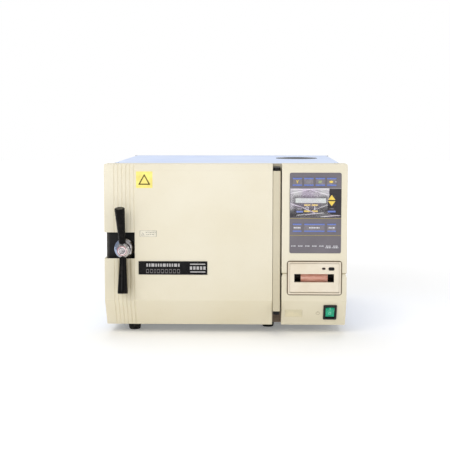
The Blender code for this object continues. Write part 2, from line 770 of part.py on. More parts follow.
def make_keypad():
    """The overlay plate in its recess, one key in each of its holes, and the display."""
    front = -GAP
    back = front + OVERLAY_THICKNESS
    overlay = part("keypad_overlay",
                   prism(rounded_rectangle((KEYPAD_X, KEYPAD_Z), KEYPAD_SIZE, 0.0035), "Y",
                         y_at(front), y_at(back)), "membrane")
    holes = bmesh.new()
    for name, (x, z, width, height, finish) in key_layout().items():
        around = (width + 2 * GAP, height + 2 * GAP)
        extrude(holes, rounded_rectangle((x, z), around, 0.0015 + GAP, 3), "Y",
                y_at(front) - 0.001, y_at(back) + 0.001)
        pivot = make_pivot(f"{name}_pivot", (x, FRONT_Y, z))
        key = part(name, prism(rounded_rectangle((x, z), (width, height), 0.0015, 3), "Y",
                               y_at(front - 0.0006), y_at(back)), finish, pivot)
        bevel(key, 0.00035, 1, math.radians(60))
    around = (LCD_SIZE[0] + 2 * GAP, LCD_SIZE[1] + 2 * GAP)
    extrude(holes, rounded_rectangle(LCD_CENTRE, around, 0.0008, 2), "Y",
            y_at(front) - 0.001, y_at(back) + 0.001)
    cut(overlay, holes)

    lcd = part("lcd_module", prism(rounded_rectangle(LCD_CENTRE, LCD_SIZE, 0.0005, 2), "Y",
                                   y_at(0.0001), y_at(0.005)), "display")
    weld_on(lcd, block(centred_span(LCD_CENTRE[0], 0.072), (0.004, 0.009),
                       centred_span(LCD_CENTRE[1], 0.022)))


def make_control_fascia(slope):
    """The moulded panel to the right of the door, with its openings."""
    fascia = front_moulding("control_fascia", PANEL_LEFT, HALF_WIDTH, PLATE_DEPTH - GAP)
    seat = [size + 2 * GAP for size in KEYPAD_SIZE]
    cut(fascia, prism(rounded_rectangle((KEYPAD_X, KEYPAD_Z), seat, 0.0038), "Y",
                      FRONT_Y - 0.010, y_at(OVERLAY_THICKNESS)))
    ledge = 0.004
    cut(fascia, block(centred_span(KEYPAD_X, KEYPAD_SIZE[0] - 2 * ledge), (-0.01, 0.01),
                      centred_span(KEYPAD_Z, KEYPAD_SIZE[1] - 2 * ledge)))
    seat = [size + 2 * PRINTER_MARGIN for size in PRINTER_SIZE]
    cut(fascia, prism(rounded_rectangle((PRINTER_X, PRINTER_Z), seat, 0.0063), "Y",
                      FRONT_Y - 0.010, y_at(PRINTER_SEAT)))
    cut(fascia, block(centred_span(PRINTER_X, PRINTER_SIZE[0] - 0.0042), (-0.01, 0.01),
                      centred_span(PRINTER_Z, PRINTER_SIZE[1] - 0.0042)))
    cut(fascia, local_block((0.0240, 0.0346), -0.012, 0.012), slope, local=True)
    top, deepest, bottom = WAIST_Z
    beyond = 0.002 / WAIST_DEPTH
    heights = (bottom - (deepest - bottom) * beyond, deepest, top + (top - deepest) * beyond)
    reaches = (-0.002, WAIST_DEPTH, -0.002)
    front_groove = [(y_at(reach), z) for reach, z in zip(reaches, heights)]
    cut(fascia, prism(front_groove, "X", PANEL_LEFT - 0.01, HALF_WIDTH + 0.01))
    for side, inward in ((PANEL_LEFT, 1), (HALF_WIDTH, -1)):
        side_groove = [(side + inward * reach, z) for reach, z in zip(reaches, heights)]
        cut(fascia, prism(side_groove, "Y", FRONT_Y - 0.01, y_at(PLATE_DEPTH + 0.01)))


def make_control_board():
    """The circuit board behind the keypad, with the larger components on its rear face."""
    board_back = 0.0176
    board = part("control_board", block((0.128, 0.247), (0.0160, board_back), (0.186, 0.344)),
                 "circuit_board")
    components = bmesh.new()
    for x, z, width, height, depth in (
        (0.145, 0.215, 0.024, 0.036, 0.018),
        (0.180, 0.215, 0.028, 0.028, 0.015),
        (0.216, 0.215, 0.028, 0.028, 0.015),
        (0.170, 0.285, 0.036, 0.036, 0.004),
        (0.220, 0.290, 0.014, 0.040, 0.010),
        (0.186, 0.330, 0.080, 0.010, 0.009),
    ):
        add_block(components, centred_span(x, width),
                  (y_at(board_back - 0.0008), y_at(board_back + depth)), centred_span(z, height))
    weld_on(board, components)


def make_printer():
    """The label printer: a framed tub, a lid hinged along its bottom edge, and the paper roll."""
    outline = rounded_rectangle((PRINTER_X, PRINTER_Z), PRINTER_SIZE, 0.0050)
    housing = part("printer_housing",
                   prism(outline, "Y", y_at(-0.0025), y_at(PRINTER_SEAT - GAP)), "printer_plastic")
    bevel(housing, 0.0015, 3, math.radians(60))
    tub = (PRINTER_SIZE[0] - 0.0048, PRINTER_SIZE[1] - 0.0048)
    room = (LID_SIZE[0] + 0.0008, LID_SIZE[1] + 0.0014)
    weld_on(housing, block(centred_span(PRINTER_X, tub[0]), (-0.001, PRINTER_DEPTH),
                           centred_span(PRINTER_Z, tub[1])))
    cut(housing, block(centred_span(PRINTER_X, room[0]), (-0.010, PRINTER_DEPTH - 0.002),
                       centred_span(PRINTER_Z, room[1])))
    roll_centre = (PRINTER_X, y_at(ROLL_DEPTH), PRINTER_Z)
    half_room = room[0] / 2 + 0.001
    weld_on(housing, rod(0.005, "X", roll_centre, -half_room, half_room, 16))

    roll = make_pivot("paper_roll_pivot", roll_centre)
    ring = [(0.0060, -0.0285), (ROLL_RADIUS, -0.0285), (ROLL_RADIUS, 0.0285), (0.0060, 0.0285)]
    part("paper_roll", turned(ring, "X", roll_centre, 32), "paper", roll, smooth=True)

    half_thickness = LID_THICKNESS / 2
    axis_depth = LID_FRONT + half_thickness
    axis_z = PRINTER_Z - LID_SIZE[1] / 2 + half_thickness
    top = PRINTER_Z + LID_SIZE[1] / 2
    lid_pivot = make_pivot("printer_lid_pivot", (PRINTER_X, y_at(axis_depth), axis_z))
    side = [(y_at(LID_FRONT), top), *arc((y_at(axis_depth), axis_z), half_thickness, 180, 360, 8),
            (y_at(LID_FRONT + LID_THICKNESS), top)]
    lid = part("printer_lid", prism(side, "X", *centred_span(PRINTER_X, LID_SIZE[0])),
               "printer_plastic", lid_pivot)
    bevel(lid, 0.0009, 2, math.radians(60))
    through = (LID_FRONT - 0.01, LID_FRONT + LID_THICKNESS + 0.01)
    cut(lid, block(centred_span(PRINTER_X - 0.0007, 0.0834), through, (0.1174, 0.1352)),
        lid_pivot)
    button_centre = (PRINTER_X + 0.0354, FRONT_Y, 0.1461)
    around = [size + 0.0010 for size in BUTTON_SIZE]
    button_place = (button_centre[0], button_centre[2])
    cut(lid, prism(rounded_rectangle(button_place, around, 0.0034), "Y", y_at(through[0]),
                   y_at(through[1])), lid_pivot)

    button_pivot = make_pivot("feed_button_pivot", button_centre, lid_pivot)
    button = part("feed_button", prism(rounded_rectangle(button_place, BUTTON_SIZE, 0.0029), "Y",
                                       y_at(-0.0050), y_at(0.0040)), "black_plastic", button_pivot)
    bevel(button, 0.0005, 2, math.radians(60))


def slope_pivot():
    """A frame on the lower slope: its Z points out of the slope and its Y points up it."""
    place = (SWITCH_X, y_at(BOTTOM_CHAMFER_DEPTH * SWITCH_PLACE),
             BOTTOM_Z + BOTTOM_CHAMFER_HEIGHT * (1 - SWITCH_PLACE))
    turn = math.atan2(BOTTOM_CHAMFER_HEIGHT, -BOTTOM_CHAMFER_DEPTH)
    return make_pivot("lower_slope", place, rotation=(turn, 0.0, 0.0))


def make_power_switch(slope):
    """The rocker switch on the lower slope."""
    frame = part("switch_frame", prism(rounded_rectangle((0, 0), SWITCH_SIZE, 0.002), "Z", GAP,
                                       0.0026), "black_plastic", slope, local=True)
    bevel(frame, 0.0007, 1, math.radians(60))
    weld_on(frame, local_block((0.0234, 0.0340), -0.0200, 0.0010), slope, local=True)
    cut(frame, local_block((0.0196, 0.0296), -0.0185, 0.0100), slope, local=True)

    axis_height = -0.0055
    rocker_pivot = make_pivot("power_rocker_pivot", (0, 0, 0))
    rocker_pivot.parent = slope
    rocker_pivot.location = (0, 0, axis_height)
    rocker_pivot.rotation_euler = (ROCKER_TILT, 0, 0)
    radius = 0.0142
    upper = math.degrees(math.asin(0.0080 / radius))
    lower = math.degrees(math.asin(-0.0050 / radius))
    side = arc((0, 0), radius, lower, upper, 5) + [(0, 0.0070)]
    side += arc((0, 0), radius, 180 - upper, 180 - lower, 5)
    rocker = part("power_rocker", prism(side, "X", -0.0094, 0.0094), "green_plastic",
                  rocker_pivot, local=True)
    bevel(rocker, 0.0006, 2, math.radians(40))


# ---------------------------------------------------------------- door
def make_door_cover(pivot):
    """The door's moulding, with vertical grooves at its left and a notch for the handle."""
    cover = front_moulding("door_cover", -HALF_WIDTH, DOOR_RIGHT, DOOR_DEPTH, pivot)
    path = front_outline(DOOR_DEPTH)[1:5]
    path[0] = (path[0][0] + 0.005, path[0][1] + 0.0115)
    path[3] = (path[3][0] + 0.0035, path[3][1] - 0.0058)
    outer = offset_path(path, -0.0010)
    inner = offset_path(path, 0.0012)
    grooves = bmesh.new()
    pitch = 0.0083
    half_width = 0.0024
    for number in range(6):
        x = -0.2334 + number * pitch
        rings = []
        for (outer_y, outer_z), (inner_y, inner_z) in zip(outer, inner):
            rings.append([grooves.verts.new(point) for point in (
                (x - half_width, outer_y, outer_z), (x + half_width, outer_y, outer_z),
                (x, inner_y, inner_z))])
        grooves.faces.new(rings[0])
        grooves.faces.new(rings[-1])
        for first, second in zip(rings, rings[1:]):
            for i in range(3):
                j = (i + 1) % 3
                grooves.faces.new((first[i], first[j], second[j], second[i]))
    cut(cover, grooves, pivot)
    cut(cover, block((-HALF_WIDTH - 0.01, NOTCH_RIGHT), (-0.01, DOOR_DEPTH + 0.001), NOTCH_Z),
        pivot)
    passage = (BRIDGE_DEPTH - 0.001, BRIDGE_DEPTH + BRIDGE_THICKNESS + 0.001)
    cut(cover, block((DOOR_RIGHT - 0.01, DOOR_RIGHT + 0.01), passage,
                     (BRIDGE_Z[0] - 0.001, BRIDGE_Z[1] + 0.001)), pivot)


def make_door_structure(pivot):
    """The bridge, the sealing disc and its gasket, and the column that the door turns on."""
    bridge_back = BRIDGE_DEPTH + BRIDGE_THICKNESS
    column_left = HINGE_X - COLUMN_SIZE[0] / 2
    bridge = part("door_bridge",
                  block((BRIDGE_LEFT, column_left - GAP), (BRIDGE_DEPTH, bridge_back), BRIDGE_Z),
                  "black_steel", pivot)
    weld_on(bridge, block((BRIDGE_TONGUE_LEFT, BRIDGE_LEFT + 0.001), (BRIDGE_DEPTH, bridge_back),
                          (NOTCH_Z[0] + 0.0006, BRIDGE_Z[1])), pivot)
    bevel(bridge, 0.0015)
    cut(bridge, rod(BOLT_RADIUS + 0.0006, "Y", (HANDLE_X, FRONT_Y, CHAMBER_Z), 0, 0.1), pivot)

    boss = bridge_back + GAP
    disc_back = 0.058
    profile = [(0, boss), (0.028, boss), (0.032, 0.046), (0.110, 0.049), (FLANGE_RADIUS, 0.050),
               (FLANGE_RADIUS, disc_back), (0, disc_back)]
    part("door_disc", turned(profile, "Y", (CHAMBER_X, FRONT_Y, CHAMBER_Z), 56),
         "stainless_steel", pivot, smooth=True)
    ring = [(0.1160, disc_back + GAP), (0.1225, disc_back + GAP), (0.1225, CHAMBER_FRONT - 0.001),
            (0.1205, CHAMBER_FRONT - GAP), (0.1180, CHAMBER_FRONT - GAP),
            (0.1160, CHAMBER_FRONT - 0.001)]
    part("door_gasket", turned(ring, "Y", (CHAMBER_X, FRONT_Y, CHAMBER_Z), 56), "silicone", pivot,
         smooth=True)

    centre = (HINGE_X, y_at(HINGE_DEPTH))
    outline = rounded_rectangle(centre, COLUMN_SIZE, COLUMN_ROUNDING)
    left, front = centre[0] - COLUMN_SIZE[0] / 2, centre[1] - COLUMN_SIZE[1] / 2
    per_corner = len(outline) // 4
    edge = 0.0006
    outline[2 * per_corner:3 * per_corner] = [(left, front + edge), (left + edge, front)]
    column = part("hinge_column", prism(outline, "Z", COLUMN_BOTTOM, COLUMN_TOP),
                  "cream_moulding", pivot)
    weld_on(column, block((column_left, HINGE_X - 0.0015), (HINGE_DEPTH, bridge_back),
                          (COLUMN_BOTTOM, COLUMN_TOP)), pivot)
    for low, high in ((COLUMN_BOTTOM - 0.01, COLUMN_BOTTOM + 0.012),
                      (COLUMN_TOP - 0.012, COLUMN_TOP + 0.01)):
        cut(column, rod(HINGE_PIN_RADIUS + 0.0005, "Z", (*centre, 0), low, high, 16), pivot)


def make_name_plates(pivot):
    """A blank black plate on the door, with a groove that divides it in two."""
    heights = (0.1325, 0.1608)
    plate = part("name_plate", block((-0.1829, -0.0379), (-0.0012, -GAP), heights),
                 "black_plastic", pivot)
    cut(plate, block((-0.0803, -0.0782), (-0.0100, -0.0007), (0.12, 0.17)), pivot)


def make_hinge_bracket():
    """The fixed bracket on the front plate: a strap and two arms, each with a pin in the column."""
    centre = (HINGE_X, y_at(HINGE_DEPTH))
    radius = BRACKET_RADIUS
    back = y_at(PLATE_DEPTH - GAP)
    outline = arc(centre, radius, 180, 360, 12) + [(centre[0] + radius, back),
                                                   (centre[0] - radius, back)]
    arms = ((COLUMN_BOTTOM - 0.007, COLUMN_BOTTOM - GAP, COLUMN_BOTTOM - 0.004, COLUMN_BOTTOM + 0.011),
            (COLUMN_TOP + GAP, COLUMN_TOP + 0.007, COLUMN_TOP - 0.011, COLUMN_TOP + 0.004))
    bracket = part("hinge_bracket",
                   block((HINGE_X - radius, HINGE_X + radius), (0.0610, PLATE_DEPTH - GAP),
                         (COLUMN_BOTTOM - 0.007, COLUMN_TOP + 0.007)), "black_steel")
    pins = bmesh.new()
    for arm_bottom, arm_top, pin_bottom, pin_top in arms:
        arm = bmesh.new()
        extrude(arm, outline, "Z", arm_bottom, arm_top)
        weld_on(bracket, arm)
        pin = [(0, pin_bottom), (HINGE_PIN_RADIUS, pin_bottom), (HINGE_PIN_RADIUS, pin_top),
               (0, pin_top)]
        add_turned(pins, pin, "Z", (*centre, 0), 16)
    weld_on(bracket, pins)


def make_closing_catch():
    """The fixed keeper at the left of the chamber, which the pawl turns behind."""
    heights = centred_span(CHAMBER_Z, 0.044)
    back = PLATE_DEPTH - GAP
    left, right = CATCH_X
    side = left + 0.005
    inside = y_at(CATCH_DEPTH + CATCH_WALL)
    outline = [(left, y_at(CATCH_DEPTH)), (right, y_at(CATCH_DEPTH)), (right, inside),
               (side, inside), (side, y_at(back)), (left, y_at(back))]
    part("closing_catch", prism(outline, "Z", *heights), "zinc_steel")


# ---------------------------------------------------------------- handle

def make_handle(pivot):
    """The turned hub, the two arms, and the bolt whose pawl locks the door."""
    centre = (HANDLE_X, FRONT_Y, CHAMBER_Z)
    part("handle_hub", turned(HUB_PROFILE, "Y", centre, 36), "chrome", pivot, smooth=True)

    socket = [(radius + (GAP if radius else 0), along) for radius, along in HUB_PROFILE]
    socket[0] = (0, socket[0][1] - GAP)
    socket[1] = (socket[1][0], socket[1][1] - GAP)
    meeting = (HANDLE_X, y_at(ARM_DEPTH), CHAMBER_Z)
    for name, roll in (("handle_arm_upper", UPPER_ROLL), ("handle_arm_lower", LOWER_ROLL)):
        root = make_pivot(f"{name}_root", meeting, pivot)
        root.rotation_mode = "XYZ"
        root.rotation_euler = (ARM_LEAN, roll, 0)
        arm = part(name, turned(ARM_PROFILE, "Z", (0, 0, 0), 28), "bakelite", root, local=True,
                   smooth=True)
        cut(arm, turned(socket, "Y", centre, 36), pivot)

    start = BRIDGE_DEPTH
    head = CATCH_DEPTH + CATCH_WALL + 0.0006
    shaft = rod(BOLT_RADIUS, "Y", centre, start, head + 0.0055, 24)
    bolt = part("closing_bolt", shaft, "zinc_steel", pivot, smooth=True)
    pawl = arc((HANDLE_X, CHAMBER_Z), BOLT_RADIUS - 0.0002, 0, 180, 10)
    pawl += [(HANDLE_X - 0.0058, CHAMBER_Z - PAWL_LENGTH), (HANDLE_X + 0.0058, CHAMBER_Z - PAWL_LENGTH)]
    weld_on(bolt, prism(pawl, "Y", y_at(head), y_at(head + 0.0052)), pivot)


def build():
    clear_scene()
    make_base_pan()
    make_top_cover()
    make_rear_panel()
    make_front_plate()
    make_feet()
    make_chamber()
    make_jacket()
    make_heater()
    make_rack()
    make_trays()
    make_reservoir()
    make_reservoir_cap()
    make_valves()
    make_pipes()
    make_drain()
    make_mains_inlet()
    slope = slope_pivot()
    make_control_fascia(slope)
    make_keypad()
    make_control_board()
    make_printer()
    make_power_switch(slope)
    door = make_pivot("door_pivot", (HINGE_X, y_at(HINGE_DEPTH), 0))
    make_door_cover(door)
    make_door_structure(door)
    make_name_plates(door)
    make_hinge_bracket()
    make_closing_catch()
    handle = make_pivot("handle_pivot", (HANDLE_X, FRONT_Y, CHAMBER_Z), door)
    make_handle(handle)


build()
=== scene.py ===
import math

import bmesh
import bpy
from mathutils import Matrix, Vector, noise


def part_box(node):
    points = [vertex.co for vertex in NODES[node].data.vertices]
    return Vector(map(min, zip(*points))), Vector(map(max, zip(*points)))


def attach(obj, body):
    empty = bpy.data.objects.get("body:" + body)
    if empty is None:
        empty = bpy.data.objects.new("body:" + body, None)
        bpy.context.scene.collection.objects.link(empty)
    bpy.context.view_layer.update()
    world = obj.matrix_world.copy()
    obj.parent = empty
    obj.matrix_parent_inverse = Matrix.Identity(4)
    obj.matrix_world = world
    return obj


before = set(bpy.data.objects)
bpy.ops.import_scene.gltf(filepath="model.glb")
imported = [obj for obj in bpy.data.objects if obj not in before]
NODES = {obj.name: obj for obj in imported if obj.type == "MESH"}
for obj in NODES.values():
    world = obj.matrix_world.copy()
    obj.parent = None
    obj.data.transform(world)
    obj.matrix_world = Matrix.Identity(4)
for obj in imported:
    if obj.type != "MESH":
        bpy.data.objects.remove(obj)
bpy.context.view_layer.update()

# the camera: a long lens a little to the right of the object, looking slightly down at it
CAMERA_PLACE = (0.0655, -2.5661, 0.4629)
CAMERA_PAN = -0.0288        # radians from +Y towards +X
CAMERA_TILT = 0.09768       # radians below level
CAMERA_LENS = 88.13         # millimetres, on a 36 mm sensor

# the studio: name, place, size and power in watts of each soft light
LIGHT_AIM = (0.0, 0.0, 0.18)
LIGHTS = (("key_light", (-1.0, -2.3, 1.5), (1.6, 1.2), 24.0),
          ("fill_light", (1.9, -1.6, 0.9), (1.2, 1.2), 5.0),
          ("top_light", (0.0, 0.3, 2.2), (1.6, 1.6), 15.0),
          ("back_light", (-0.6, 2.0, 2.4), (1.4, 1.2), 8.0))
SURROUND_LIGHT = 0.50       # strength of the white surroundings where the camera doesn't see them
FLOOR_REACH = 9.0

# the fascia's front plane, and the slope at its foot
FRONT_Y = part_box("control_fascia")[0].y
SLOPE_TOP_Z = 0.077
SLOPE_DEPTH = 0.035
SLOPE_HEIGHT = 0.057
SLOPE_LENGTH = math.hypot(SLOPE_DEPTH, SLOPE_HEIGHT)
WAIST_Z = (0.1345, 0.1372)  # the groove round the fascia at the printer's height
WAIST_LEFT = 0.117

# the keypad overlay's printed layout
DARK_FIELD_Z = (0.2540, 0.3137)
LIGHT_LINE_Z = 0.3152
OLIVE_LINES_Z = (0.2521, 0.2163)
LEGENDS = ((0.1560, 0.0040), (0.1790, 0.0055), (0.2030, 0.0120))   # X and width over the display
LEGEND_Z = 0.3058
LAMP_COUNT = 7
LAMP_PITCH = 0.01465
LAMP_INSET = 0.0080         # first lamp label from the overlay's left edge
LAMP_LABEL_Z = 0.1940
LAMP_SECOND_LINE_Z = 0.1906

# the labels on the door: centres in X and Z, and sizes
SQUARE_LABEL = (-0.1697, 0.33255)
LABEL_SIDE = 0.0346
LABEL_PROUD = 0.0002
NOTICE = (-0.16205, 0.2192)
NOTICE_SIZE = (0.0355, 0.0132)
NOTICE_PROUD = 0.00012
PLATE_MARKS_X = -0.1312
PLATE_DIVIDER_X = -0.0782

BLANK_LABEL_X = 0.1445
SWITCH_SYMBOL_X = 0.1957
PRINTER_LAMP = (0.2065, 0.1466)
REAR_PLATE = (0.150, 0.150)

PRINT_HEIGHT = 0.00006      # how far printed marks stand out of their face
PRINT_ROOT = 0.0001         # and how deep they start in it


def colour(red, green, blue):
    """A shader colour from 8-bit display values."""
    linear = [(v / 255 / 12.92) if v <= 10 else ((v / 255 + 0.055) / 1.055) ** 2.4
              for v in (red, green, blue)]
    return (*linear, 1.0)


# ---- camera, floor and light

def add_object(name, data):
    thing = bpy.data.objects.new(name, data)
    bpy.context.scene.collection.objects.link(thing)
    return thing


def make_camera():
    forward = Vector((math.sin(CAMERA_PAN) * math.cos(CAMERA_TILT),
                      math.cos(CAMERA_PAN) * math.cos(CAMERA_TILT), -math.sin(CAMERA_TILT)))
    data = bpy.data.cameras.new("camera")
    data.lens = CAMERA_LENS
    data.sensor_width = 36.0
    camera = add_object("camera", data)
    camera.location = CAMERA_PLACE
    camera.rotation_mode = "QUATERNION"
    camera.rotation_quaternion = forward.to_track_quat("-Z", "Y")
    bpy.context.scene.camera = camera


def make_light(name, place, size, power):
    data = bpy.data.lights.new(name, "AREA")
    data.shape = "RECTANGLE"
    data.size, data.size_y = size
    data.energy = power
    light = add_object(name, data)
    light.location = place
    light.rotation_mode = "QUATERNION"
    light.rotation_quaternion = (Vector(LIGHT_AIM) - Vector(place)).to_track_quat("-Z", "Y")


def make_surroundings():
    """A white world: full strength to the camera, weaker as a light."""
    world = bpy.data.worlds.new("studio")
    world.use_nodes = True
    tree = world.node_tree
    background = tree.nodes["Background"]
    background.inputs["Color"].default_value = (1.0, 1.0, 1.0, 1.0)
    seen = tree.nodes.new("ShaderNodeLightPath").outputs["Is Camera Ray"]
    level = tree.nodes.new("ShaderNodeMapRange")
    level.inputs["To Min"].default_value = SURROUND_LIGHT
    level.inputs["To Max"].default_value = 1.0
    tree.links.new(seen, level.inputs["Value"])
    tree.links.new(level.outputs["Result"], background.inputs["Strength"])
    bpy.context.scene.world = world


def make_floor():
    """Pale paper that glows more with distance, so that it meets the white surroundings."""
    bm = bmesh.new()
    bm.faces.new([bm.verts.new((x * FLOOR_REACH, y * FLOOR_REACH, 0.0))
                  for x, y in ((-1, -1), (1, -1), (1, 1), (-1, 1))])
    mesh = bpy.data.meshes.new("floor")
    bm.to_mesh(mesh)
    bm.free()
    paper = (0.93, 0.93, 0.925, 1.0)
    s = Surface("floor_paper", base=paper, rough=0.9, specular=0.1, glow=(1.0, 1.0, 1.0, 1.0))
    distance = s.add("ShaderNodeVectorMath", operation="LENGTH")
    s.feed(distance.inputs[0], s.place)
    s.feed(s.shader.inputs["Emission Strength"],
           s.spread(distance.outputs["Value"], 0.5, 2.6, 0.16, 0.62, smooth=True))
    s.tint(paper, (0.95, 0.95, 0.95, 1.0), s.noise(3.0, 2.0))
    mesh.materials.append(s.material)
    add_object("floor", mesh)


# ---- surfaces

class Surface:
    """A procedural material: one Principled shader and the nodes that feed it.

    Patterns read the object coordinates in metres, so a scale of 100 gives features of 10 mm."""

    SOCKETS = {"base": "Base Color", "rough": "Roughness", "metal": "Metallic",
               "specular": "Specular IOR Level", "coat": "Coat Weight",
               "coat_rough": "Coat Roughness", "sheen": "Sheen Weight",
               "scatter": "Subsurface Weight", "scatter_scale": "Subsurface Scale",
               "glow": "Emission Color", "glow_strength": "Emission Strength"}

    def __init__(self, name, base, **settings):
        self.material = bpy.data.materials.new(name)
        self.material.use_nodes = True
        self.tree = self.material.node_tree
        self.shader = self.tree.nodes["Principled BSDF"]
        for setting, value in {"base": base, **settings}.items():
            self.shader.inputs[self.SOCKETS[setting]].default_value = value
        self.material.diffuse_color = base
        self.place = self.add("ShaderNodeTexCoord").outputs["Object"]
        self.relief = None

    def add(self, kind, **settings):
        node = self.tree.nodes.new(kind)
        for setting, value in settings.items():
            setattr(node, setting, value)
        return node

    def feed(self, socket, value):
        """Links an output to a socket, or sets the socket to a constant."""
        if isinstance(value, bpy.types.NodeSocket):
            self.tree.links.new(value, socket)
        else:
            socket.default_value = value

    def stretched(self, scale):
        """The object coordinates, scaled differently along each axis."""
        mapping = self.add("ShaderNodeMapping")
        self.feed(mapping.inputs["Vector"], self.place)
        mapping.inputs["Scale"].default_value = scale
        return mapping.outputs["Vector"]

    def noise(self, scale, detail, stretch=None, roughness=0.55):
        node = self.add("ShaderNodeTexNoise")
        self.feed(node.inputs["Vector"], self.stretched(stretch) if stretch else self.place)
        node.inputs["Scale"].default_value = scale
        node.inputs["Detail"].default_value = detail
        node.inputs["Roughness"].default_value = roughness
        return node.outputs["Fac"]

    def cells(self, scale):
        """A random colour for each of many small facets."""
        node = self.add("ShaderNodeTexVoronoi")
        self.feed(node.inputs["Vector"], self.place)
        node.inputs["Scale"].default_value = scale
        return node.outputs["Color"]

    def bricks(self, scale, second_shade, offset=0.5):
        """Joints of 1 round bricks of 0."""
        node = self.add("ShaderNodeTexBrick", offset=offset)
        self.feed(node.inputs["Vector"], self.stretched(scale))
        for socket, shade in (("Color1", 0.0), ("Color2", second_shade), ("Mortar", 1.0)):
            node.inputs[socket].default_value = (shade, shade, shade, 1.0)
        return node.outputs["Fac"]

    def axis(self, letter):
        node = self.add("ShaderNodeSeparateXYZ")
        self.feed(node.inputs["Vector"], self.place)
        return node.outputs[letter]

    def maths(self, operation, first, second):
        node = self.add("ShaderNodeMath", operation=operation)
        self.feed(node.inputs[0], first)
        self.feed(node.inputs[1], second)
        return node.outputs["Value"]

    def spread(self, value, low, high, to_low=0.0, to_high=1.0, smooth=False):
        """Maps low..high to to_low..to_high, held at the ends."""
        node = self.add("ShaderNodeMapRange")
        if smooth:
            node.interpolation_type = "SMOOTHSTEP"
        self.feed(node.inputs["Value"], value)
        for socket, number in (("From Min", low), ("From Max", high),
                               ("To Min", to_low), ("To Max", to_high)):
            node.inputs[socket].default_value = number
        return node.outputs["Result"]

    def within(self, letter, low, high, soft=0.0001):
        """1 between two planes across an axis, else 0."""
        place = self.axis(letter)
        rise = self.spread(place, low - soft, low + soft)
        fall = self.spread(place, high - soft, high + soft, 1.0, 0.0)
        return self.maths("MULTIPLY", rise, fall)

    def mix(self, factor, first, second):
        """Blends two colours. The node repeats its socket names for each type, so they go by place."""
        node = self.add("ShaderNodeMix", data_type="RGBA")
        for place, value in ((0, factor), (6, first), (7, second)):
            self.feed(node.inputs[place], value)
        return node.outputs[2]

    def tint(self, first, second, factor):
        """Blends the base colour from first to second by factor."""
        self.feed(self.shader.inputs["Base Color"], self.mix(factor, first, second))

    def roughness(self, low, high, factor):
        """Spreads the roughness from low to high over the middle of a noise."""
        self.feed(self.shader.inputs["Roughness"], self.spread(factor, 0.3, 0.7, low, high))

    def bump(self, height, distance, strength):
        """Adds relief of that depth, in metres, over what is there already."""
        node = self.add("ShaderNodeBump")
        node.inputs["Strength"].default_value = strength
        node.inputs["Distance"].default_value = distance
        self.feed(node.inputs["Height"], height)
        if self.relief is not None:
            self.feed(node.inputs["Normal"], self.relief)
        self.relief = node.outputs["Normal"]
        self.feed(self.shader.inputs["Normal"], self.relief)


def cream_moulding(name="cream_moulding", fresh=(232, 225, 205), aged=(222, 212, 184)):
    """Painted structural-foam moulding: a fine spatter, faint mottling and grubby low down, with painted
    shade in the groove round the fascia and a painted shadow either side of the handle's lower arm."""
    fresh, aged = colour(*fresh), colour(*aged)
    s = Surface(name, base=fresh, rough=0.46, specular=0.4)
    low_down = s.spread(s.axis("Z"), 0.02, 0.20, 0.45, 0.0, smooth=True)
    mottling = s.spread(s.noise(7.0, 4.0), 0.35, 0.75, 0.0, 0.5)
    aging = s.maths("ADD", low_down, mottling)
    cream = s.mix(aging, fresh, aged)
    specks = s.spread(s.noise(420.0, 2.0), 0.66, 0.76, 0.0, 0.16)
    # painted shade: the groove round the fascia is darkened, to the right of WAIST_LEFT
    waist = s.maths("MULTIPLY", s.within("Z", *WAIST_Z, 0.0006),
                    s.spread(s.axis("X"), WAIST_LEFT, WAIST_LEFT + 0.001))
    arm_low, arm_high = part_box("handle_arm_lower")
    # painted shadow of the handle's lower arm, streaked, on the door either side of it
    handle_shadow = s.maths("MULTIPLY", s.within("X", arm_low.x - 0.002, arm_high.x + 0.008, 0.006),
                      s.within("Z", arm_low.z, arm_high.z - 0.006, 0.012))
    streaks = s.spread(s.noise(1.0, 3.0, stretch=(210.0, 30.0, 9.0)), 0.3, 0.65, 0.25, 0.85)
    # the specks are dirt; the groove and handle masks paint shade in the same dark colour
    specks_and_painted_shade = s.maths("MAXIMUM", specks, s.maths("MULTIPLY", waist, 0.75))
    specks_and_painted_shade = s.maths("MAXIMUM", specks_and_painted_shade, s.maths("MULTIPLY", handle_shadow, streaks))
    s.tint(cream, colour(170, 156, 122), specks_and_painted_shade)
    s.roughness(0.40, 0.54, s.noise(60.0, 3.0))
    s.bump(s.noise(900.0, 3.0), 0.00012, 0.35)
    s.bump(s.noise(140.0, 2.0), 0.0002, 0.12)
    return s.material


def printer_plastic():
    """Warm off-white moulding, painted near black as shade in the bay behind its face, with a painted
    shade line along its rim.
    """
    fresh, aged = colour(236, 226, 208), colour(226, 213, 190)
    s = Surface("printer_plastic", base=fresh, rough=0.38, specular=0.45)
    outside = s.mix(s.spread(s.noise(22.0, 4.0), 0.35, 0.7), fresh, aged)
    # painted shade: deeper than the bay's mouth the moulding goes near black
    deep_inside = s.spread(s.axis("Y"), FRONT_Y + 0.007, FRONT_Y + 0.011)
    low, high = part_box("printer_housing")
    # painted shade line round the housing's rim, outside this mask
    unshaded = s.maths("MULTIPLY", s.within("X", low.x + 0.0013, high.x - 0.0013, 0.0006),
                    s.within("Z", low.z + 0.0013, high.z - 0.0013, 0.0006))
    outside = s.mix(unshaded, colour(140, 122, 98), outside)
    s.tint(outside, colour(38, 32, 32), deep_inside)
    s.roughness(0.32, 0.46, s.noise(90.0, 3.0))
    s.bump(s.noise(1300.0, 3.0), 0.00008, 0.35)
    return s.material


def powder_coat():
    """Pale blue powder coat with a fine orange peel and a few wiped streaks."""
    unshaded, worn = colour(222, 233, 255), colour(206, 220, 250)
    s = Surface("powder_coat", base=unshaded, rough=0.5, specular=0.3)
    s.tint(unshaded, worn, s.spread(s.noise(5.0, 5.0), 0.35, 0.7))
    s.roughness(0.46, 0.58, s.noise(24.0, 4.0, stretch=(1.0, 0.3, 1.0)))
    s.bump(s.noise(650.0, 2.0), 0.00012, 0.4)
    return s.material


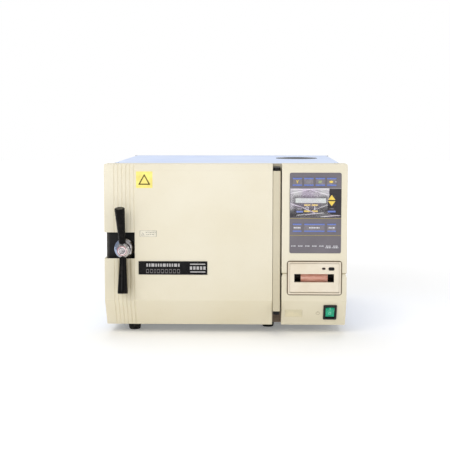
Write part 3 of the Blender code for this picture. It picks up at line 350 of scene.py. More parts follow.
def cream_paint():
    """Stoved paint on the steel plate behind the door, with painted shade low down below the hinge
    column.
    """
    unshaded, dulled = colour(214, 205, 182), colour(198, 188, 164)
    s = Surface("cream_paint", base=unshaded, rough=0.4, specular=0.45)
    paint = s.mix(s.spread(s.noise(9.0, 5.0), 0.35, 0.7), unshaded, dulled)
    low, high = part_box("hinge_column")
    # painted shade on the plate below the hinge column, in the gap beside the door
    under_column = s.maths("MULTIPLY", s.within("X", low.x - 0.006, high.x + 0.006, 0.004),
                           s.spread(s.axis("Z"), low.z, low.z + 0.012, 1.0, 0.0))
    s.tint(paint, colour(124, 106, 92), under_column)
    s.roughness(0.34, 0.5, s.noise(35.0, 4.0))
    s.bump(s.noise(600.0, 2.0), 0.0001, 0.35)
    return s.material


def brushed_steel(name, stretch, shade=(196, 198, 200), rough=(0.22, 0.38), metal=1.0):
    """Stainless steel brushed along the axis whose stretch is smallest."""
    light, dark = colour(*shade), colour(*(round(v * 0.86) for v in shade))
    s = Surface(name, base=light, metal=metal, rough=rough[0])
    grain = s.noise(1.0, 4.0, stretch=stretch, roughness=0.7)
    s.tint(light, dark, s.spread(grain, 0.3, 0.7))
    s.roughness(*rough, s.noise(14.0, 4.0))
    s.bump(grain, 0.00006, 0.5)
    return s.material


def zinc_plate():
    """Bright zinc with a spangle of crystal facets."""
    light, dark = colour(190, 192, 190), colour(160, 164, 165)
    s = Surface("zinc_plate", base=light, metal=1.0, rough=0.4)
    facets = s.add("ShaderNodeSeparateColor")
    s.feed(facets.inputs["Color"], s.cells(230.0))
    clouds = s.spread(s.noise(8.0, 4.0), 0.3, 0.7, 0.3, 1.0)
    cloudy = s.maths("MULTIPLY", facets.outputs["Red"], clouds)
    s.tint(light, dark, cloudy)
    s.roughness(0.34, 0.5, facets.outputs["Green"])
    s.bump(s.noise(300.0, 3.0), 0.00005, 0.3)
    return s.material


def black_enamel():
    """Black enamel on steel, with painted grey reflection streaks at the free end of the bridge."""
    dark, grey = colour(20, 20, 21), colour(38, 38, 40)
    s = Surface("black_enamel", base=dark, rough=0.42, specular=0.2)
    enamel_tone = s.mix(s.spread(s.noise(30.0, 5.0), 0.4, 0.75), dark, grey)
    free_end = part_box("door_bridge")[0].x
    # painted reflection: grey vertical streaks fading in from the bridge's free end
    free_end_reflection = s.spread(s.axis("X"), free_end + 0.001, free_end + 0.007, 0.8, 0.0)
    streaks = s.spread(s.noise(1.0, 3.0, stretch=(420.0, 60.0, 14.0)), 0.35, 0.7, 0.45, 1.0)
    s.tint(enamel_tone, colour(112, 108, 102), s.maths("MULTIPLY", free_end_reflection, streaks))
    s.roughness(0.34, 0.55, s.noise(70.0, 3.0))
    s.bump(s.noise(800.0, 2.0), 0.0001, 0.4)
    return s.material


def chrome_plate():
    """Bright plating, finger-marked, over turned metal, with a painted blue reflection on its left part.
    """
    bright, dull = colour(208, 204, 204), colour(150, 146, 148)
    s = Surface("chrome_plate", base=bright, metal=1.0, rough=0.1)
    smudges = s.spread(s.noise(130.0, 4.0), 0.45, 0.7)
    low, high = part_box("handle_hub")
    width = high.x - low.x
    # painted reflection: a blue tint on the hub's left part, fading out towards its middle
    blue_reflection = s.spread(s.axis("X"), low.x + 0.16 * width, low.x + 0.42 * width, 0.6, 0.0, smooth=True)
    s.tint(s.mix(smudges, bright, dull), colour(128, 160, 206), blue_reflection)
    s.feed(s.shader.inputs["Roughness"], s.spread(smudges, 0.0, 1.0, 0.08, 0.26))
    s.bump(s.noise(500.0, 2.0), 0.00002, 0.3)
    return s.material


def bakelite():
    """Black phenolic, worn a little brown and dull where hands hold it."""
    black, worn = colour(12, 11, 11), colour(34, 28, 25)
    s = Surface("bakelite", base=black, rough=0.3, specular=0.1)
    wear = s.spread(s.noise(55.0, 5.0), 0.5, 0.8)
    s.tint(black, worn, wear)
    s.feed(s.shader.inputs["Roughness"], s.spread(wear, 0.0, 1.0, 0.24, 0.46))
    s.bump(s.noise(240.0, 4.0), 0.00008, 0.4)
    return s.material


def rubber():
    dark, dusty = colour(30, 30, 31), colour(74, 72, 68)
    s = Surface("rubber", base=dark, rough=0.8, specular=0.3)
    s.tint(dark, dusty, s.spread(s.noise(90.0, 5.0), 0.45, 0.8))
    s.roughness(0.68, 0.92, s.noise(200.0, 3.0))
    s.bump(s.noise(1100.0, 3.0), 0.00015, 0.5)
    return s.material


def silicone():
    pale, stained = colour(222, 214, 200), colour(196, 176, 150)
    s = Surface("silicone", base=pale, rough=0.5, scatter=0.3, scatter_scale=0.002)
    s.tint(pale, stained, s.spread(s.noise(40.0, 4.0), 0.45, 0.75))
    s.roughness(0.42, 0.6, s.noise(120.0, 3.0))
    s.bump(s.noise(900.0, 2.0), 0.00008, 0.3)
    return s.material


def tarnished(name, bright, dull, rough=(0.24, 0.48)):
    """A copper alloy: turned or drawn bright, tarnished in clouds."""
    bright, dull = colour(*bright), colour(*dull)
    s = Surface(name, base=bright, metal=1.0, rough=rough[0])
    s.tint(bright, dull, s.spread(s.noise(65.0, 5.0), 0.35, 0.75))
    s.roughness(*rough, s.noise(150.0, 4.0))
    s.bump(s.noise(700.0, 3.0), 0.00006, 0.35)
    return s.material


def glass_wool():
    """Bonded glass fibre: yellowish matted strands."""
    pale, deep = colour(228, 214, 160), colour(186, 164, 104)
    s = Surface("glass_wool", base=pale, rough=0.95, specular=0.1, sheen=0.4)
    strands = s.noise(60.0, 8.0, stretch=(1.0, 6.0, 1.0), roughness=0.8)
    s.tint(pale, deep, s.spread(strands, 0.35, 0.65))
    s.roughness(0.88, 1.0, strands)
    s.bump(strands, 0.002, 0.8)
    return s.material


def tank_plastic():
    """Milky moulded polyethylene."""
    milky, shadow = colour(226, 232, 226), colour(206, 214, 208)
    s = Surface("tank_plastic", base=milky, rough=0.42, scatter=0.4, scatter_scale=0.006)
    s.tint(milky, shadow, s.spread(s.noise(16.0, 4.0), 0.35, 0.7))
    s.roughness(0.36, 0.52, s.noise(80.0, 3.0))
    s.bump(s.noise(500.0, 3.0), 0.0001, 0.3)
    return s.material


def circuit_board():
    """Green solder mask with etched tracks, and dark packages standing on it."""
    board_thickness = 0.0018
    board_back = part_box("control_board")[0].y + board_thickness
    mask, track = colour(24, 84, 52), colour(52, 128, 84)
    s = Surface("circuit_board", base=mask, rough=0.35, specular=0.5)
    tracks = s.bricks((260.0, 1.0, 260.0), 0.25)
    green = s.mix(tracks, mask, track)
    packages = s.spread(s.axis("Y"), board_back, board_back + 0.0002)
    s.tint(green, colour(34, 34, 36), packages)
    s.roughness(0.3, 0.5, s.noise(200.0, 3.0))
    s.bump(tracks, 0.00004, 0.5)
    return s.material


def keypad_film():
    """Printed polyester film: mid grey, with the dark field round the display."""
    grey, deep = colour(117, 112, 119), colour(107, 102, 109)
    s = Surface("keypad_film", base=grey, rough=0.4, specular=0.45)
    ground = s.mix(s.spread(s.noise(18.0, 4.0), 0.35, 0.7), grey, deep)
    dark_field = s.within("Z", *DARK_FIELD_Z)
    dark = s.mix(s.spread(s.noise(30.0, 3.0), 0.35, 0.7), colour(50, 45, 50), colour(42, 38, 44))
    s.tint(ground, dark, dark_field)
    s.roughness(0.34, 0.48, s.noise(120.0, 3.0))
    s.bump(s.noise(2200.0, 2.0), 0.00005, 0.4)
    return s.material


def key_film(name, shade):
    """The same film over a domed key, lighter and smoother in scattered worn patches."""
    fresh, worn = colour(*shade), colour(*(min(255, round(v * 1.12 + 4)) for v in shade))
    s = Surface(name, base=fresh, rough=0.38, specular=0.45)
    s.tint(fresh, worn, s.spread(s.noise(150.0, 4.0), 0.45, 0.75))
    s.roughness(0.26, 0.44, s.noise(110.0, 3.0))
    s.bump(s.noise(2200.0, 2.0), 0.00005, 0.4)
    return s.material


def display_glass():
    """A reflective liquid-crystal panel: silvery green, with its cells faintly showing."""
    pale, dim = colour(212, 219, 214), colour(190, 202, 192)
    s = Surface("display_glass", base=pale, rough=0.16, specular=0.6, coat=0.6, coat_rough=0.08)
    cells = s.bricks((300.0, 1.0, 190.0), 0.1, offset=0.0)
    s.tint(pale, dim, s.maths("MULTIPLY", cells, 0.2))
    s.roughness(0.12, 0.2, s.noise(40.0, 3.0))
    return s.material


def black_plastic(name="black_plastic", shade=(24, 24, 26), rough=(0.38, 0.58), specular=0.25):
    dark, lighter = colour(*shade), colour(*(v + 14 for v in shade))
    s = Surface(name, base=dark, rough=rough[0], specular=specular)
    s.tint(dark, lighter, s.spread(s.noise(75.0, 5.0), 0.45, 0.8))
    s.roughness(*rough, s.noise(130.0, 3.0))
    s.bump(s.noise(1400.0, 3.0), 0.0001, 0.45)
    return s.material


def green_lens():
    """Tinted translucent polycarbonate over a lamp."""
    bright, deep = colour(6, 172, 132), colour(2, 132, 98)
    s = Surface("green_lens", base=bright, rough=0.24, specular=0.4, coat=0.15, coat_rough=0.1,
                glow=colour(4, 168, 124), glow_strength=0.1)
    low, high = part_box("power_rocker")
    x, _, _, tall = front_view("power_rocker")
    bar = s.maths("MULTIPLY", s.within("X", x - 0.0006, x + 0.0006, 0.0002),
                  s.within("Z", high.z - 0.36 * tall, high.z - 0.20 * tall, 0.0002))
    wide = s.maths("MULTIPLY", s.within("X", x - 0.0026, x + 0.0026, 0.0002),
                   s.within("Z", low.z + 0.20 * tall, low.z + 0.38 * tall, 0.0002))
    inner = s.maths("MULTIPLY", s.within("X", x - 0.0017, x + 0.0017, 0.0002),
                    s.within("Z", low.z + 0.235 * tall, low.z + 0.345 * tall, 0.0002))
    marks = s.maths("ADD", bar, s.maths("SUBTRACT", wide, inner))
    tinted = s.mix(s.spread(s.noise(120.0, 3.0), 0.35, 0.7), bright, deep)
    s.tint(tinted, colour(190, 236, 216), s.maths("MULTIPLY", marks, 0.6))
    s.roughness(0.16, 0.3, s.noise(200.0, 3.0))
    s.bump(s.noise(350.0, 2.0, stretch=(1.0, 1.0, 3.0)), 0.0001, 0.35)
    return s.material


def label_stock():
    """The wound label stock: a glossy salmon film whose turns show in faint bands, with painted pale
    highlight streaks.
    """
    light, deep = colour(250, 196, 176), colour(210, 130, 108)
    s = Surface("label_stock", base=light, rough=0.24, specular=0.6, coat=0.5, coat_rough=0.12)
    bands = s.noise(1.0, 4.0, stretch=(26.0, 260.0, 260.0), roughness=0.7)
    wound = s.mix(s.spread(bands, 0.38, 0.64), light, deep)
    # painted highlight: pale glint streaks tinted into the base colour
    glints = s.noise(1.0, 3.0, stretch=(9.0, 190.0, 190.0), roughness=0.6)
    s.tint(wound, colour(255, 226, 212), s.spread(glints, 0.56, 0.66))
    s.roughness(0.16, 0.36, bands)
    s.bump(bands, 0.0003, 0.6)
    return s.material


def ink(name, shade, rough=0.4, grain=400.0):
    """Screen-printed ink, slightly uneven."""
    thick, thin = colour(*shade), colour(*(round(v * 0.9) for v in shade))
    s = Surface(name, base=thick, rough=rough, specular=0.4)
    s.tint(thick, thin, s.spread(s.noise(grain, 4.0), 0.4, 0.7))
    s.roughness(rough - 0.06, rough + 0.08, s.noise(300.0, 2.0))
    s.bump(s.noise(1800.0, 2.0), 0.00003, 0.4)
    return s.material


def clear_film():
    """Thin protective film, clear where it clings to the display, with painted white highlights along its
    creases.
    """
    s = Surface("clear_film", base=(0.95, 0.95, 0.97, 1.0), rough=0.12, specular=0.7,
                coat=0.5, coat_rough=0.05)
    creases = s.noise(34.0, 3.0, stretch=(0.55, 1.0, 1.6), roughness=0.5)
    height = s.spread(s.axis("Z"), 0.262, 0.306, 0.0, 0.34)
    cloud = s.maths("MULTIPLY", s.spread(creases, 0.38, 0.68, 0.04, 0.36),
                    s.spread(s.axis("Z"), 0.258, 0.272, 0.3, 1.0))
    s.tint((0.97, 0.95, 0.98, 1.0), (0.80, 0.70, 0.86, 1.0), s.spread(s.noise(26.0, 3.0), 0.42, 0.6))
    crease = s.add("ShaderNodeAttribute", attribute_name="crease").outputs["Fac"]
    display_low, display_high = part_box("lcd_module")
    clinging = s.maths("MULTIPLY", s.within("X", display_low.x, display_high.x, 0.003),
                       s.within("Z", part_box("key_time")[0].z, display_high.z, 0.003))
    haze = s.maths("MULTIPLY", s.maths("ADD", cloud, height),
                   s.spread(clinging, 0.0, 1.0, 1.0, 0.38))
    # the crease attribute raises the opacity of the near-white film along its creases: painted highlights
    s.feed(s.shader.inputs["Alpha"], s.maths("ADD", s.maths("MULTIPLY", haze, 0.75),
                                             s.maths("MULTIPLY", crease, 0.95)))
    s.roughness(0.08, 0.2, creases)
    s.bump(creases, 0.0012, 0.5)
    return s.material


# ---- shapes

def front_view(name):
    """Centre X and Z, width and height of a node."""
    low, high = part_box(name)
    return (low.x + high.x) / 2, (low.z + high.z) / 2, high.x - low.x, high.z - low.z


def rectangle(x, z, width, height):
    return [(x - width / 2, z - height / 2), (x + width / 2, z - height / 2),
            (x + width / 2, z + height / 2), (x - width / 2, z + height / 2)]


def rounded(points, radius, steps=5):
    """The same outline with each corner turned to an arc."""
    path = []
    count = len(points)
    for i, corner in enumerate(points):
        here = Vector(corner)
        back = (Vector(points[i - 1]) - here).normalized()
        ahead = (Vector(points[(i + 1) % count]) - here).normalized()
        half = back.angle(ahead) / 2
        reach = radius / math.tan(half)
        start, end = here + back * reach, here + ahead * reach
        for k in range(steps + 1):
            t = k / steps
            path.append(tuple(start * (1 - t) ** 2 + here * 2 * t * (1 - t) + end * t ** 2))
    return path


def disc(x, z, radius_x, radius_z=None, count=28):
    radius_z = radius_z or radius_x
    return [(x + radius_x * math.cos(2 * math.pi * i / count),
             z + radius_z * math.sin(2 * math.pi * i / count)) for i in range(count)]


def shrunk(points, amount):
    """The outline moved in towards its centre, side by side."""
    centre = Vector((sum(p[0] for p in points), sum(p[1] for p in points))) / len(points)
    result = []
    for point in points:
        arm = Vector(point) - centre
        result.append(tuple(centre + arm * max(0.0, 1 - amount / arm.length)))
    return result


def add_prism(bm, outline, near, far, hole=None):
    """A closed plate between two depths; a hole has as many points as the outline."""
    loops = []
    for path in filter(None, (outline, hole)):
        loops.append([[bm.verts.new((x, y, z)) for x, z in path] for y in (near, far)])
    count = len(outline)
    if hole is None:
        bm.faces.new(loops[0][0])
        bm.faces.new(loops[0][1])
    else:
        for side in (0, 1):
            outer, inner = loops[0][side], loops[1][side]
            for i in range(count):
                j = (i + 1) % count
                bm.faces.new((outer[i], outer[j], inner[j], inner[i]))
    for near_loop, far_loop in loops:
        for i in range(count):
            j = (i + 1) % count
            bm.faces.new((near_loop[i], near_loop[j], far_loop[j], far_loop[i]))


def finish_piece(name, bm, material, body, smooth=False, bevel=0.0):
    bmesh.ops.recalc_face_normals(bm, faces=bm.faces)
    mesh = bpy.data.meshes.new(name)
    bm.to_mesh(mesh)
    bm.free()
    if smooth:
        mesh.shade_smooth()
    mesh.materials.append(material)
    piece = add_object(name, mesh)
    if bevel:
        modifier = piece.modifiers.new("edges", "BEVEL")
        modifier.width = bevel
        modifier.segments = 2
        modifier.limit_method = "ANGLE"
    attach(piece, body)
    return piece


def plates(name, shapes, near, far, material, body, bevel=0.0):
    """Plates between two depths in Y: an outline, or an (outline, hole) pair, for each."""
    bm = bmesh.new()
    for shape in shapes:
        outline, hole = shape if isinstance(shape, tuple) else (shape, None)
        add_prism(bm, outline, near, far, hole)
    finish_piece(name, bm, material, body, bevel=bevel)


def prints(name, shapes, front, material, body, proud=PRINT_HEIGHT):
    """Printed marks on a face across Y."""
    plates(name, shapes, front - proud, front + PRINT_ROOT, material, body)


def dashes(x, z, width, height, lengths):
    """A row of short marks, in the proportions given, with equal gaps."""
    gap = 0.35 * width / len(lengths)
    unit = (width - gap * (len(lengths) - 1)) / sum(lengths)
    row, at = [], x - width / 2
    for length in lengths:
        row.append(rectangle(at + length * unit / 2, z, length * unit, height))
        at += length * unit + gap
    return row


def lathe(name, profile, centre, axis, material, body, count):
    """Turns (radius, along) points about an axis through centre: closed if it starts and ends at 0."""
    across = [Vector(v) for v in {"X": ((0, 1, 0), (0, 0, 1)), "Y": ((1, 0, 0), (0, 0, 1)),
                                  "Z": ((1, 0, 0), (0, 1, 0))}[axis]]
    along = Vector({"X": (1, 0, 0), "Y": (0, 1, 0), "Z": (0, 0, 1)}[axis])
    bm = bmesh.new()
    rings = []
    for radius, distance in profile:
        base = Vector(centre) + along * distance
        rings.append([bm.verts.new(base + radius * (across[0] * math.cos(a) + across[1] * math.sin(a)))
                      for a in (2 * math.pi * i / count for i in range(count if radius else 1))])
    for lower, upper in zip(rings, rings[1:]):
        for i in range(count):
            j = (i + 1) % count
            corners = [lower[i % len(lower)], lower[j % len(lower)],
                       upper[j % len(upper)], upper[i % len(upper)]]
            unique = list(dict.fromkeys(corners))
            if len(unique) > 2:
                bm.faces.new(unique)
    piece = finish_piece(name, bm, material, body, smooth=True)
    piece.modifiers.new("split", "EDGE_SPLIT").split_angle = math.radians(35)


# ---- materials on the CAD nodes

cream = cream_moulding()
coat = powder_coat()
polished = brushed_steel("chamber_steel", (30.0, 900.0, 30.0), (232, 234, 236), (0.24, 0.4), 0.78)
tray_steel = brushed_steel("tray_steel", (500.0, 12.0, 500.0), (204, 206, 208), (0.2, 0.34))
zinc = zinc_plate()
enamel = black_enamel()
chrome = chrome_plate()
phenolic = bakelite()
black = black_plastic()
gloss_black = black_plastic("gloss_black", (16, 15, 16), (0.24, 0.38), 0.12)
brass = tarnished("turned_brass", (214, 178, 104), (150, 116, 62))
copper = tarnished("drawn_copper", (214, 134, 100), (136, 76, 54))
grey_key = key_film("grey_key", (122, 117, 124))
dark_key = key_film("dark_key", (56, 51, 57))
ink_blue = ink("ink_blue", (112, 132, 206))
ink_yellow = ink("ink_yellow", (246, 214, 96))
ink_white = ink("ink_white", (236, 236, 242))
ink_grey = ink("ink_grey", (158, 156, 160))
ink_olive = ink("ink_olive", (166, 152, 96))
ink_green = ink("ink_green", (176, 190, 130))
ink_dark = ink("ink_dark", (52, 52, 56))

LETTERED_KEYS = {"key_dry": (0.72, (2, 2, 1, 2, 2)), "key_start": (0.50, (2, 1, 2, 2, 1, 2, 1)),
                 "key_stop": (0.66, (2, 2, 1, 3))}     # share of the width, and the marks' lengths
GREY_KEYS = ("key_program_1", "key_program_2", "key_program_3", "key_program_4", *LETTERED_KEYS)
YELLOW_KEYS = ("key_time", "key_temperature")
LOW_BLUE_KEYS = ("key_menu", "key_enter")
ARROW_KEYS = {"key_up": 1, "key_down": -1}

FINISHES = {
    cream: ("door_cover", "control_fascia"),
    # the hinge column: a darker copy of the cream, painted shade for the gap it stands in
    cream_moulding("shaded_column_moulding", (208, 199, 175), (198, 188, 160)): ("hinge_column",),
    coat: ("top_cover",),
    cream_paint(): ("front_plate",),
    polished: ("chamber_vessel", "heater_element", "door_disc"),
    tray_steel: ("tray_rack", "tray_lower", "tray_middle", "tray_upper"),
    zinc: ("base_pan", "rear_panel", "closing_catch", "closing_bolt"),
    enamel: ("door_bridge", "hinge_bracket", "drain_lever"),
    chrome: ("handle_hub",),
    phenolic: ("handle_arm_upper", "handle_arm_lower"),
    rubber(): ("foot_front_left", "foot_front_right", "foot_rear_left", "foot_rear_right"),
    silicone(): ("door_gasket",),
    brass: ("safety_valve", "fill_valve", "exhaust_valve", "drain_valve"),
    copper: ("fill_pipe", "exhaust_pipe"),
    glass_wool(): ("insulation_jacket",),
    tank_plastic(): ("water_reservoir",),
    circuit_board(): ("control_board",),
    keypad_film(): ("keypad_overlay",),
    display_glass(): ("lcd_module",),
    printer_plastic(): ("printer_housing", "printer_lid"),
    black: ("mains_inlet", "switch_frame", "feed_button"),
    black_plastic("cap_plastic", (52, 55, 60), (0.14, 0.24), 0.7): ("reservoir_cap",),
    gloss_black: ("name_plate",),
    green_lens(): ("power_rocker",),
    label_stock(): ("paper_roll",),
    grey_key: GREY_KEYS,
    dark_key: (*ARROW_KEYS, *YELLOW_KEYS, *LOW_BLUE_KEYS),
}
for finish, node_names in FINISHES.items():
    for node_name in node_names:
        NODES[node_name].data.materials.clear()
        NODES[node_name].data.materials.append(finish)


# ---- keypad prints

def key_prints(key, kind, marks, material):
    """Printed marks that ride on a key and are named after it."""
    prints(f"{key}_{kind}", marks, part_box(key)[0].y, material, key)


def bars(key, material, height, sides=(1, -1)):
    """Coloured bars along a key's top and bottom edges."""
    x, z, width, tall = front_view(key)
    marks = [rectangle(x, z + side * (tall - height) / 2, width - 0.0006, height) for side in sides]
    key_prints(key, "bars", marks, material)


def make_key_bars():
    for key in GREY_KEYS:
        bars(key, ink_blue, 0.0026)
    for key in YELLOW_KEYS:
        bars(key, ink_yellow, 0.0032)
    for key in LOW_BLUE_KEYS:
        bars(key, ink_blue, 0.0034, (-1,))


def make_program_icons():
    """A forked mark, a pouch, three stacked bars, and an oval with a lamp beside it."""
    x, z = front_view("key_program_1")[:2]
    stem = rectangle(x, z - 0.0014, 0.0015, 0.0030)
    left_arm = [(x - 0.0028, z + 0.0030), (x - 0.0008, z - 0.0006),
                (x + 0.0002, z), (x - 0.0014, z + 0.0030)]
    right_arm = [(2 * x - px, pz) for px, pz in reversed(left_arm)]
    key_prints("key_program_1", "icon", [stem, left_arm, right_arm], ink_yellow)

    x, z = front_view("key_program_2")[:2]
    pouch = rounded(rectangle(x, z, 0.0078, 0.0048), 0.0006)
    fold = rectangle(x, z, 0.0030, 0.0010)
    key_prints("key_program_2", "icon", [(pouch, shrunk(pouch, 0.0008)), fold], ink_grey)

    x, z = front_view("key_program_3")[:2]
    stack = [rounded(rectangle(x + 0.0007 * k, z + 0.0017 * k, 0.0070 - 0.0008 * abs(k), 0.0011), 0.0003)
             for k in (-1, 0, 1)]
    key_prints("key_program_3", "icon", stack, ink_green)

    x, z = front_view("key_program_4")[:2]
    key_prints("key_program_4", "icon", [disc(x - 0.0010, z, 0.0040, 0.0022)], ink_yellow)
    key_prints("key_program_4", "lamp", [disc(x + 0.0086, z, 0.0009, count=16)], ink_white)


def make_arrows():
    for key, way in ARROW_KEYS.items():
        x, z, width, tall = front_view(key)
        half, rise = width / 2 - 0.0007, tall / 2 - 0.0005
        arrow = rounded([(x - half, z - way * rise), (x + half, z - way * rise), (x, z + way * rise)],
                        0.0006)
        key_prints(key, "arrow", [arrow], ink_yellow)


def make_lower_key_marks():
    """A clock face, a thermometer, and rows of plain marks in the place of words."""
    x, z = front_view("key_time")[:2]
    dial = disc(x, z, 0.0034)
    hands = [rectangle(x, z + 0.0010, 0.0006, 0.0020), rectangle(x + 0.0009, z, 0.0020, 0.0006)]
    key_prints("key_time", "icon", [(dial, shrunk(dial, 0.0008)), *hands], ink_white)

    x, z = front_view("key_temperature")[:2]
    bulb, stem = disc(x, z - 0.0018, 0.0017), rectangle(x, z + 0.0013, 0.0013, 0.0050)
    ticks = [rectangle(x + 0.0024, z + up, 0.0014, 0.0005) for up in (0.0024, 0.0008)]
    key_prints("key_temperature", "icon", [bulb, stem, *ticks], ink_white)

    for key, lengths, material in (("key_menu", (2, 1, 2), ink_white), ("key_enter", (1, 3), ink_grey)):
        x, z = front_view(key)[:2]
        key_prints(key, "mark", dashes(x, z + 0.0022, 0.0080, 0.0010, lengths), material)
    for key, (share, lengths) in LETTERED_KEYS.items():
        x, z, width, _ = front_view(key)
        key_prints(key, "mark", dashes(x, z, width * share, 0.0026, lengths), ink_white)


def make_overlay_prints():
    """Lines, lamp labels and the display's legends on the overlay."""
    low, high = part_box("keypad_overlay")
    middle, width, front = (low.x + high.x) / 2, high.x - low.x - 0.0004, low.y
    light_line = rectangle(middle, LIGHT_LINE_Z, width, 0.0011)
    prints("overlay_light_line", [light_line], front, ink_grey, "cabinet")
    olive_lines = [rectangle(middle, z, width, 0.0012) for z in OLIVE_LINES_Z]
    prints("overlay_olive_lines", olive_lines, front, ink_olive, "cabinet")
    legends = []
    for x, span in LEGENDS:
        legends += dashes(x, LEGEND_Z, span, 0.0010, (2, 1) if span < 0.01 else (2, 2, 1, 2))
    prints("overlay_legends", legends, front, ink_grey, "cabinet")
    labels = []
    for number in range(LAMP_COUNT):
        x = low.x + LAMP_INSET + number * LAMP_PITCH
        labels += dashes(x, LAMP_LABEL_Z, 0.0090, 0.0017, (2, 1, 2))
        if number >= LAMP_COUNT - 2:
            labels += dashes(x, LAMP_SECOND_LINE_Z, 0.0120, 0.0017, (1, 2, 2, 1))
    prints("overlay_labels", labels, front, ink_white, "cabinet")


FILM_LEFT = 0.1354
FILM_BOTTOM = 0.2546
FILM_TOP = 0.3152
# the film's torn right edge, as Z and X
FILM_EDGE = ((FILM_BOTTOM, 0.2408), (0.2590, 0.2406), (0.2612, 0.2200), (0.2700, 0.2130),
             (0.2850, 0.2136), (0.2985, 0.2166), (FILM_TOP, 0.2170))
# each crease's two ends in X and Z, its width and how far it rises
FILM_CREASES = (((0.135, 0.3122), (0.217, 0.3146), 0.0012, 0.0020),
                ((0.135, 0.3045), (0.176, 0.3128), 0.0011, 0.0015),
                ((0.176, 0.3128), (0.217, 0.3010), 0.0010, 0.0014),
                ((0.135, 0.2835), (0.158, 0.2765), 0.0013, 0.0017),
                ((0.158, 0.2765), (0.190, 0.2625), 0.0012, 0.0018),
                ((0.150, 0.2590), (0.205, 0.2640), 0.0011, 0.0015),
                ((0.190, 0.2720), (0.214, 0.2810), 0.0010, 0.0012),
                ((0.200, 0.2560), (0.241, 0.2592), 0.0010, 0.0020))
HIGHEST_CREASE = 0.002
FILM_CLEARANCE = 0.00045    # the least height over the keys
FILM_RIPPLE = 0.00035
FILM_THICKNESS = 0.00006
FILM_COLUMNS = 90
FILM_ROWS = 58


def film_lift(x, z):
    """Height over the keys, and how sharply the film is creased there, which sets its painted highlight.
    """
    height = FILM_CLEARANCE + FILM_RIPPLE * (1 + noise.noise(Vector((x * 60, z * 60, 0.3))))
    highlight_strength = 0.0
    for (x0, z0), (x1, z1), width, rise in FILM_CREASES:
        run = Vector((x1 - x0, z1 - z0))
        along = max(0.0, min(1.0, (Vector((x - x0, z - z0)) @ run) / run.length_squared))
        gap = (Vector((x - x0, z - z0)) - run * along).length
        swell = 0.6 + 0.4 * math.sin(along * math.pi)
        height += rise * math.exp(-(gap / width) ** 2) * swell
        sharpness = rise / HIGHEST_CREASE * swell * math.exp(-(gap / (0.55 * width)) ** 2)
        highlight_strength = max(highlight_strength, sharpness)
    return height, highlight_strength


def film_right(z):
    """X of the film's right edge at a height, a little ragged."""
    spans = zip(FILM_EDGE, FILM_EDGE[1:])
    (z0, x0), (z1, x1) = next(pair for pair in spans if z <= pair[1][0] + 1e-9)
    return x0 + (x1 - x0) * (z - z0) / (z1 - z0) + 0.0006 * noise.noise(Vector((z * 300, 1.7, 0.0)))


def make_film():
    """The clear protective film still on the display field, creased and lifting at its right edge."""
    keys_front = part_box("key_menu")[0].y
    bm = bmesh.new()
    # this attribute carries each vertex's painted highlight strength along the creases
    crease_layer = bm.verts.layers.float.new("crease")
    grid = []
    for row in range(FILM_ROWS + 1):
        z = FILM_BOTTOM + (FILM_TOP - FILM_BOTTOM) * row / FILM_ROWS
        right = film_right(z)
        line = []
        for column in range(FILM_COLUMNS + 1):
            x = FILM_LEFT + (right - FILM_LEFT) * column / FILM_COLUMNS
            height, highlight_strength = film_lift(x, z)
            vertex = bm.verts.new((x, keys_front - height, z))
            vertex[crease_layer] = highlight_strength
            line.append(vertex)
        grid.append(line)
    for lower, upper in zip(grid, grid[1:]):
        for i in range(FILM_COLUMNS):
            bm.faces.new((lower[i], lower[i + 1], upper[i + 1], upper[i]))
    piece = finish_piece("display_film", bm, clear_film(), "cabinet", smooth=True)
    solidify = piece.modifiers.new("thickness", "SOLIDIFY")
    solidify.thickness = FILM_THICKNESS
    solidify.offset = 0.0


# ---- door, handle and other fittings

def make_square_label():
    """A yellow label with a blank triangle."""
    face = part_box("door_cover")[0].y
    x, z = SQUARE_LABEL
    yellow = ink("label_yellow", (255, 238, 132), 0.45, 60.0)
    olive = ink("label_olive", (96, 84, 30), 0.5)
    label = rounded(rectangle(x, z, LABEL_SIDE, LABEL_SIDE), 0.0015)
    prints("square_label", [label], face, yellow, "door", LABEL_PROUD)
    sign = rounded([(x - 0.0130, z - 0.0108), (x + 0.0130, z - 0.0108), (x, z + 0.0124)], 0.0012)
    prints("square_label_outline", [(sign, shrunk(sign, 0.0046))], face - LABEL_PROUD, olive, "door")


def make_notice():
    """A small outlined sticker with a triangle and two rows of plain marks."""
    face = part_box("door_cover")[0].y
    x, z = NOTICE
    sticker = rounded(rectangle(x, z, *NOTICE_SIZE), 0.0012)
    pale = ink("sticker_cream", (236, 230, 212), 0.28, 60.0)
    prints("notice_sticker", [sticker], face, pale, "door", NOTICE_PROUD)
    edge = ink("sticker_edge", (122, 114, 96), 0.4)
    marks = [(sticker, shrunk(sticker, 0.0007))]
    marks += dashes(x + 0.0050, z + 0.0022, 0.0205, 0.0009, (2, 1, 3, 2, 1))
    marks += dashes(x + 0.0040, z - 0.0020, 0.0170, 0.0009, (1, 2, 2, 3))
    marker = [(x - 0.0148, z - 0.0036), (x - 0.0082, z - 0.0036), (x - 0.0115, z + 0.0026)]
    marks.append((marker, shrunk(marker, 0.0012)))
    prints("notice_sticker_marks", marks, face - NOTICE_PROUD, edge, "door")


